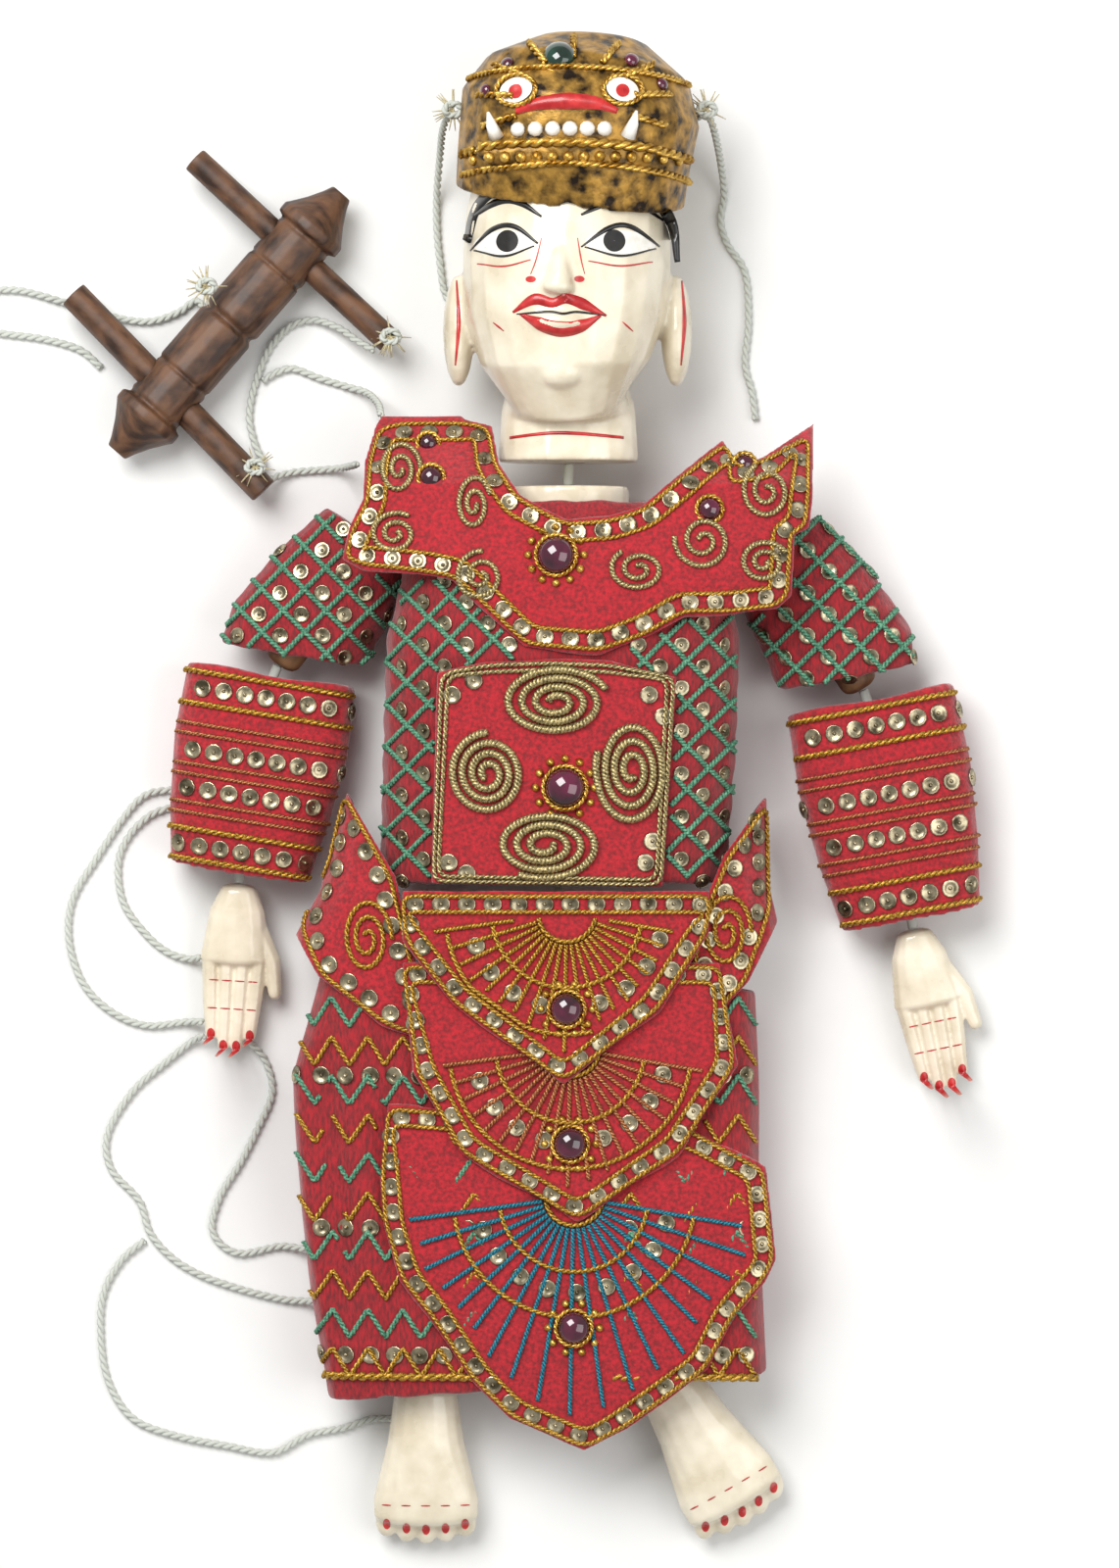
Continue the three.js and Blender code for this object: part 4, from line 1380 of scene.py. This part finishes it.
@dataclass
class Limb:
    """What arms and legs share.

    Args:
        side: The viewer's left or right.
        wood_voxel: The remesh size of the hidden wood in millimetres.
    """

    side: str
    wood_voxel: float = 0.8

    def joint(self, name: str) -> tuple:
        """A joint's centre."""
        return JOINTS[self.side][name]

    def wood(self, part: str) -> None:
        """Makes a hidden block of plain wood."""
        name = f"{part}_{self.side}"
        dressed(f"{part}_wood_{self.side}", name, self.wood_voxel, 3, PLAIN_WOOD, Slot.WOOD, Binding(name))

    def bent(self, first: str, second: str, start: tuple, end: tuple) -> Binding:
        """A binding across a joint, with its ends as (joint, next joint, share).

        Args:
            first: The first body.
            second: The second body's name without its side.
            start: The end at the first body.
            end: The end at the second body.

        Returns:
            The binding.
        """
        ends = [between(self.joint(a), self.joint(b), share) for a, b, share in (start, end)]
        return Binding(first, f"{second}_{self.side}", *ends)

    def marks(self, carving: Surface, name: str, start: str, end: str, count: int, width: float,
              curve: float, shares: tuple) -> None:
        """Paints nails at the end of a hand or foot and lines across it.

        Args:
            carving: The carving's surface.
            name: The piece's name.
            start: The joint that the hand or foot starts at.
            end: Its end.
            count: How many fingers or toes it has.
            width: The distance between two of them.
            curve: How far the outer ones stay behind.
            shares: Where the lines lie between start and end.
        """
        a, b = (np.array(self.joint(point), float) for point in (start, end))
        along = (b - a) / np.linalg.norm(b - a)
        across = np.array((along[1], -along[0], 0))
        batch = Batch()
        for step in np.arange(count) - (count - 1) / 2:
            nail = b + across * step * width - along * curve * step * step
            carving.decal(batch, oval(nail[0], nail[1], 1.1, 1.7), 0.12, 3)
            for share in shares:
                spot = (a + (b - a) * share + across * step * width)[:2]
                carving.brush(batch, [spot - across[:2] * 1.3, spot + across[:2] * 1.3], (0.1, 0.25, 0.1))
        carving.put(batch, name, RED_PAINT)


@dataclass
class Arm(Limb):
    """An arm with its sleeve, cuff and hand.

    Args:
        lattice_bounds: The sleeve's least x and y and largest x and y.
        hand_voxel: The remesh size of the hand in millimetres.
        braids: Where the cuff's braids lie, as shares of its length.
        lines: Where its copper lines lie.
        rows: Where its rows of sequins lie, with the rows' names.
    """

    lattice_bounds: tuple = (0, 0, 0, 0)
    hand_voxel: float = 0.45
    braids: tuple = (0.04, 0.2, 0.97, 0.82)
    lines: tuple = (0.3, 0.35, 0.5, 0.55, 0.69, 0.74)
    rows: tuple = ((0.12, "top"), (0.9, "bottom"), (0.43, "middle"), (0.62, "low"))

    def build(self) -> None:
        """Makes the arm's pieces and lays their ornament."""
        side = self.side
        hand = dressed(f"hand_carving_{side}", f"hand_{side}", self.hand_voxel, 5, IVORY, Slot.IVORY,
                       Binding(f"hand_{side}"))
        self.marks(hand, f"hand_marks_{side}", "wrist", "tip", 4, 3.7, 1.6, (0.62, 0.78))
        self.wood("upper_arm")
        self.wood("forearm")
        shoulder = self.bent("torso", "upper_arm", ("shoulder", "elbow", -0.1), ("shoulder", "elbow", 0.3))
        sleeve = dressed(f"sleeve_{side}_cloth", f"sleeve_{side}", CLOTH_VOXEL, 6, RED_CLOTH, Slot.LATTICE,
                         shoulder, quilting)
        sleeve.lattice(f"sleeve_{side}", (COLLAR,), self.lattice_bounds)
        elbow = self.bent(f"upper_arm_{side}", "forearm", ("elbow", "wrist", -0.1), ("elbow", "wrist", 0.25))
        cuff = dressed(f"cuff_{side}_felt", f"cuff_{side}", CLOTH_VOXEL, 6, RED_FELT, Slot.FELT, elbow,
                       folds(34, 0.5))
        self.dress_cuff(cuff)

    def dress_cuff(self, cuff: Surface) -> None:
        """Lays the cuff's braids, copper lines and rows of sequins.

        Args:
            cuff: The cuff's surface.
        """
        name = f"cuff_{self.side}"
        top, bottom = (np.array(self.joint(point)[:2], float) for point in ("elbow", "wrist"))
        length = np.linalg.norm(bottom - top)
        along = (bottom - top) / length
        across = np.array((-along[1], along[0]))

        def line(share: float, width: float = 26) -> list:
            """A line across the cuff, part of the way down."""
            middle = top + along * length * share
            return [middle - across * width, middle + across * width]

        runs = []
        for share in self.braids:
            runs += cuff.drape(line(share), 0.6, steep=0.1)
        cuff.ropes(f"{name}_braid", runs, 0.95, GOLD_BRAID)
        runs = []
        for share in self.lines:
            runs += cuff.drape(line(share), 0.5, steep=0.1)
        cuff.ropes(f"{name}_lines", runs, 0.6, COPPER_BRAID)
        for share, tag in self.rows:
            cuff.sequins(f"{name}_sequins_{tag}", line(share, 24), step=6.4)


@dataclass
class Leg(Limb):
    """A leg with its trouser leg and foot.

    Args:
        trouser_ends: The trouser leg's least and largest x.
        leg_voxel: The remesh size of the lower leg in millimetres.
        rows: Where the trouser leg's rows of sequins lie along y.
        hem: Where its hem lies along y.
    """

    trouser_ends: tuple = (0, 0)
    leg_voxel: float = 0.6
    rows: tuple = (-82, -125, -161)
    hem: float = -167

    def build(self) -> None:
        """Makes the leg's pieces and lays their ornament."""
        side = self.side
        leg = dressed(f"leg_carving_{side}", f"lower_leg_{side}", self.leg_voxel, 6, IVORY, Slot.IVORY,
                      Binding(f"lower_leg_{side}"))
        self.marks(leg, f"leg_marks_{side}", "ankle", "toe", 5, 5.6, 0.4, (0.8,))
        self.wood("thigh")
        knee = self.bent(f"thigh_{side}", "lower_leg", ("hip", "knee", 0.9), ("knee", "ankle", 0.2))
        trouser = dressed(f"trouser_{side}_cloth", f"trouser_{side}", THICK_VOXEL, 6, RED_CLOTH, Slot.FELT,
                          knee, folds(15, 1.1))
        self.dress_trouser(trouser)

    def dress_trouser(self, trouser: Surface) -> None:
        """Lays the trouser leg's zigzags, rows of sequins and hem.

        Args:
            trouser: The trouser leg's surface.
        """
        name = f"trouser_{self.side}"
        x0, x1 = self.trouser_ends
        green, gold = [], []
        for k, y in enumerate(np.arange(-64, -164, -11.0)):
            zigzag = [(x, y + 4 * (1 - 2 * (i % 2))) for i, x in enumerate(np.arange(x0, x1, 5.0))]
            (gold if k % 2 else green).extend(trouser.drape(zigzag, 0.5, steep=0.1))
        trouser.ropes(f"{name}_zigzag_green", green, 0.8, GREEN_CORD)
        trouser.ropes(f"{name}_zigzag_gold", gold, 0.8, GOLD_BRAID)
        for y in self.rows:
            trouser.sequins(f"{name}_sequins_{-y}", [(x0, y), (x1, y)], step=6.6)
        hem = trouser.drape([(x0, self.hem), (x1, self.hem)], 0.7, steep=0.05)
        trouser.ropes(f"{name}_hem", hem, 1.3, GOLD_BRAID)


@dataclass
class Control:
    """The turned barrel and its two dowels.

    Args:
        turnings: Each piece's name, CAD node and remesh size in millimetres.
    """

    turnings: tuple = (("barrel_turning", "control_barrel", 0.45), ("upper_dowel", "dowel_upper", 0.5),
                       ("lower_dowel", "dowel_lower", 0.5))

    def build(self) -> None:
        """Makes the three turned pieces."""
        for name, node, voxel in self.turnings:
            dressed(name, node, voxel, 3, TURNED_WOOD, Slot.DARK_WOOD, Binding("control"))


@dataclass
class Knots:
    """The cords' knots with their frayed ends.

    Args:
        seed: The seed of the frayed ends.
        threads: How many threads stand out of a knot.
    """

    seed: int = 7
    threads: int = 14

    def build(self) -> None:
        """Makes the knots of each body in one piece, and their threads in another."""
        rng = np.random.default_rng(self.seed)
        knots, frays = {}, {}
        for centre, body in KNOTS:
            centre = np.array(centre)
            angle = np.linspace(0, 2 * TURN, 60)
            loop = np.stack([2.3 * np.cos(angle), 1.7 * np.sin(angle), 1.1 * np.sin(angle * 1.5)], axis=1)
            knots.setdefault(body, Batch()).rope(centre + loop, 1.0, 4.0)
            fray = frays.setdefault(body, Batch())
            for _ in range(self.threads):
                way = rng.normal(0, 1, 3) * (1, 1, 0.25)
                way *= 6 / np.linalg.norm(way)
                fray.tube([centre, centre + way * 0.5, centre + way + (0, 0, -0.6)],
                          np.array((0.3, 0.25, 0.1)), 4)
        for body in knots:
            knots[body].piece(f"knots_{body}", STRING, Slot.STRING, Binding(body))
            frays[body].piece(f"frayed_ends_{body}", FRAY, Slot.STRING, Binding(body))


def main() -> None:
    """Builds the scene in order."""
    logging.basicConfig(level=logging.INFO)
    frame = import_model()
    LOG.info("the frame has %d nodes", len(frame["nodes"]))
    parts = [Stage(), Cords(), Head(), Torso(), Pelvis(), Control(), Ties()]
    parts += [Arm("left", lattice_bounds=(-97, 30, -42, 80)), Arm("right", lattice_bounds=(46, 24, 102, 78))]
    parts += [Leg("left", trouser_ends=(-74, -5)), Leg("right", trouser_ends=(0, 59)), Knots()]
    for part in parts:
        part.build()
        LOG.info("%s is made", type(part).__name__)


if __name__ == "__main__":
    main()
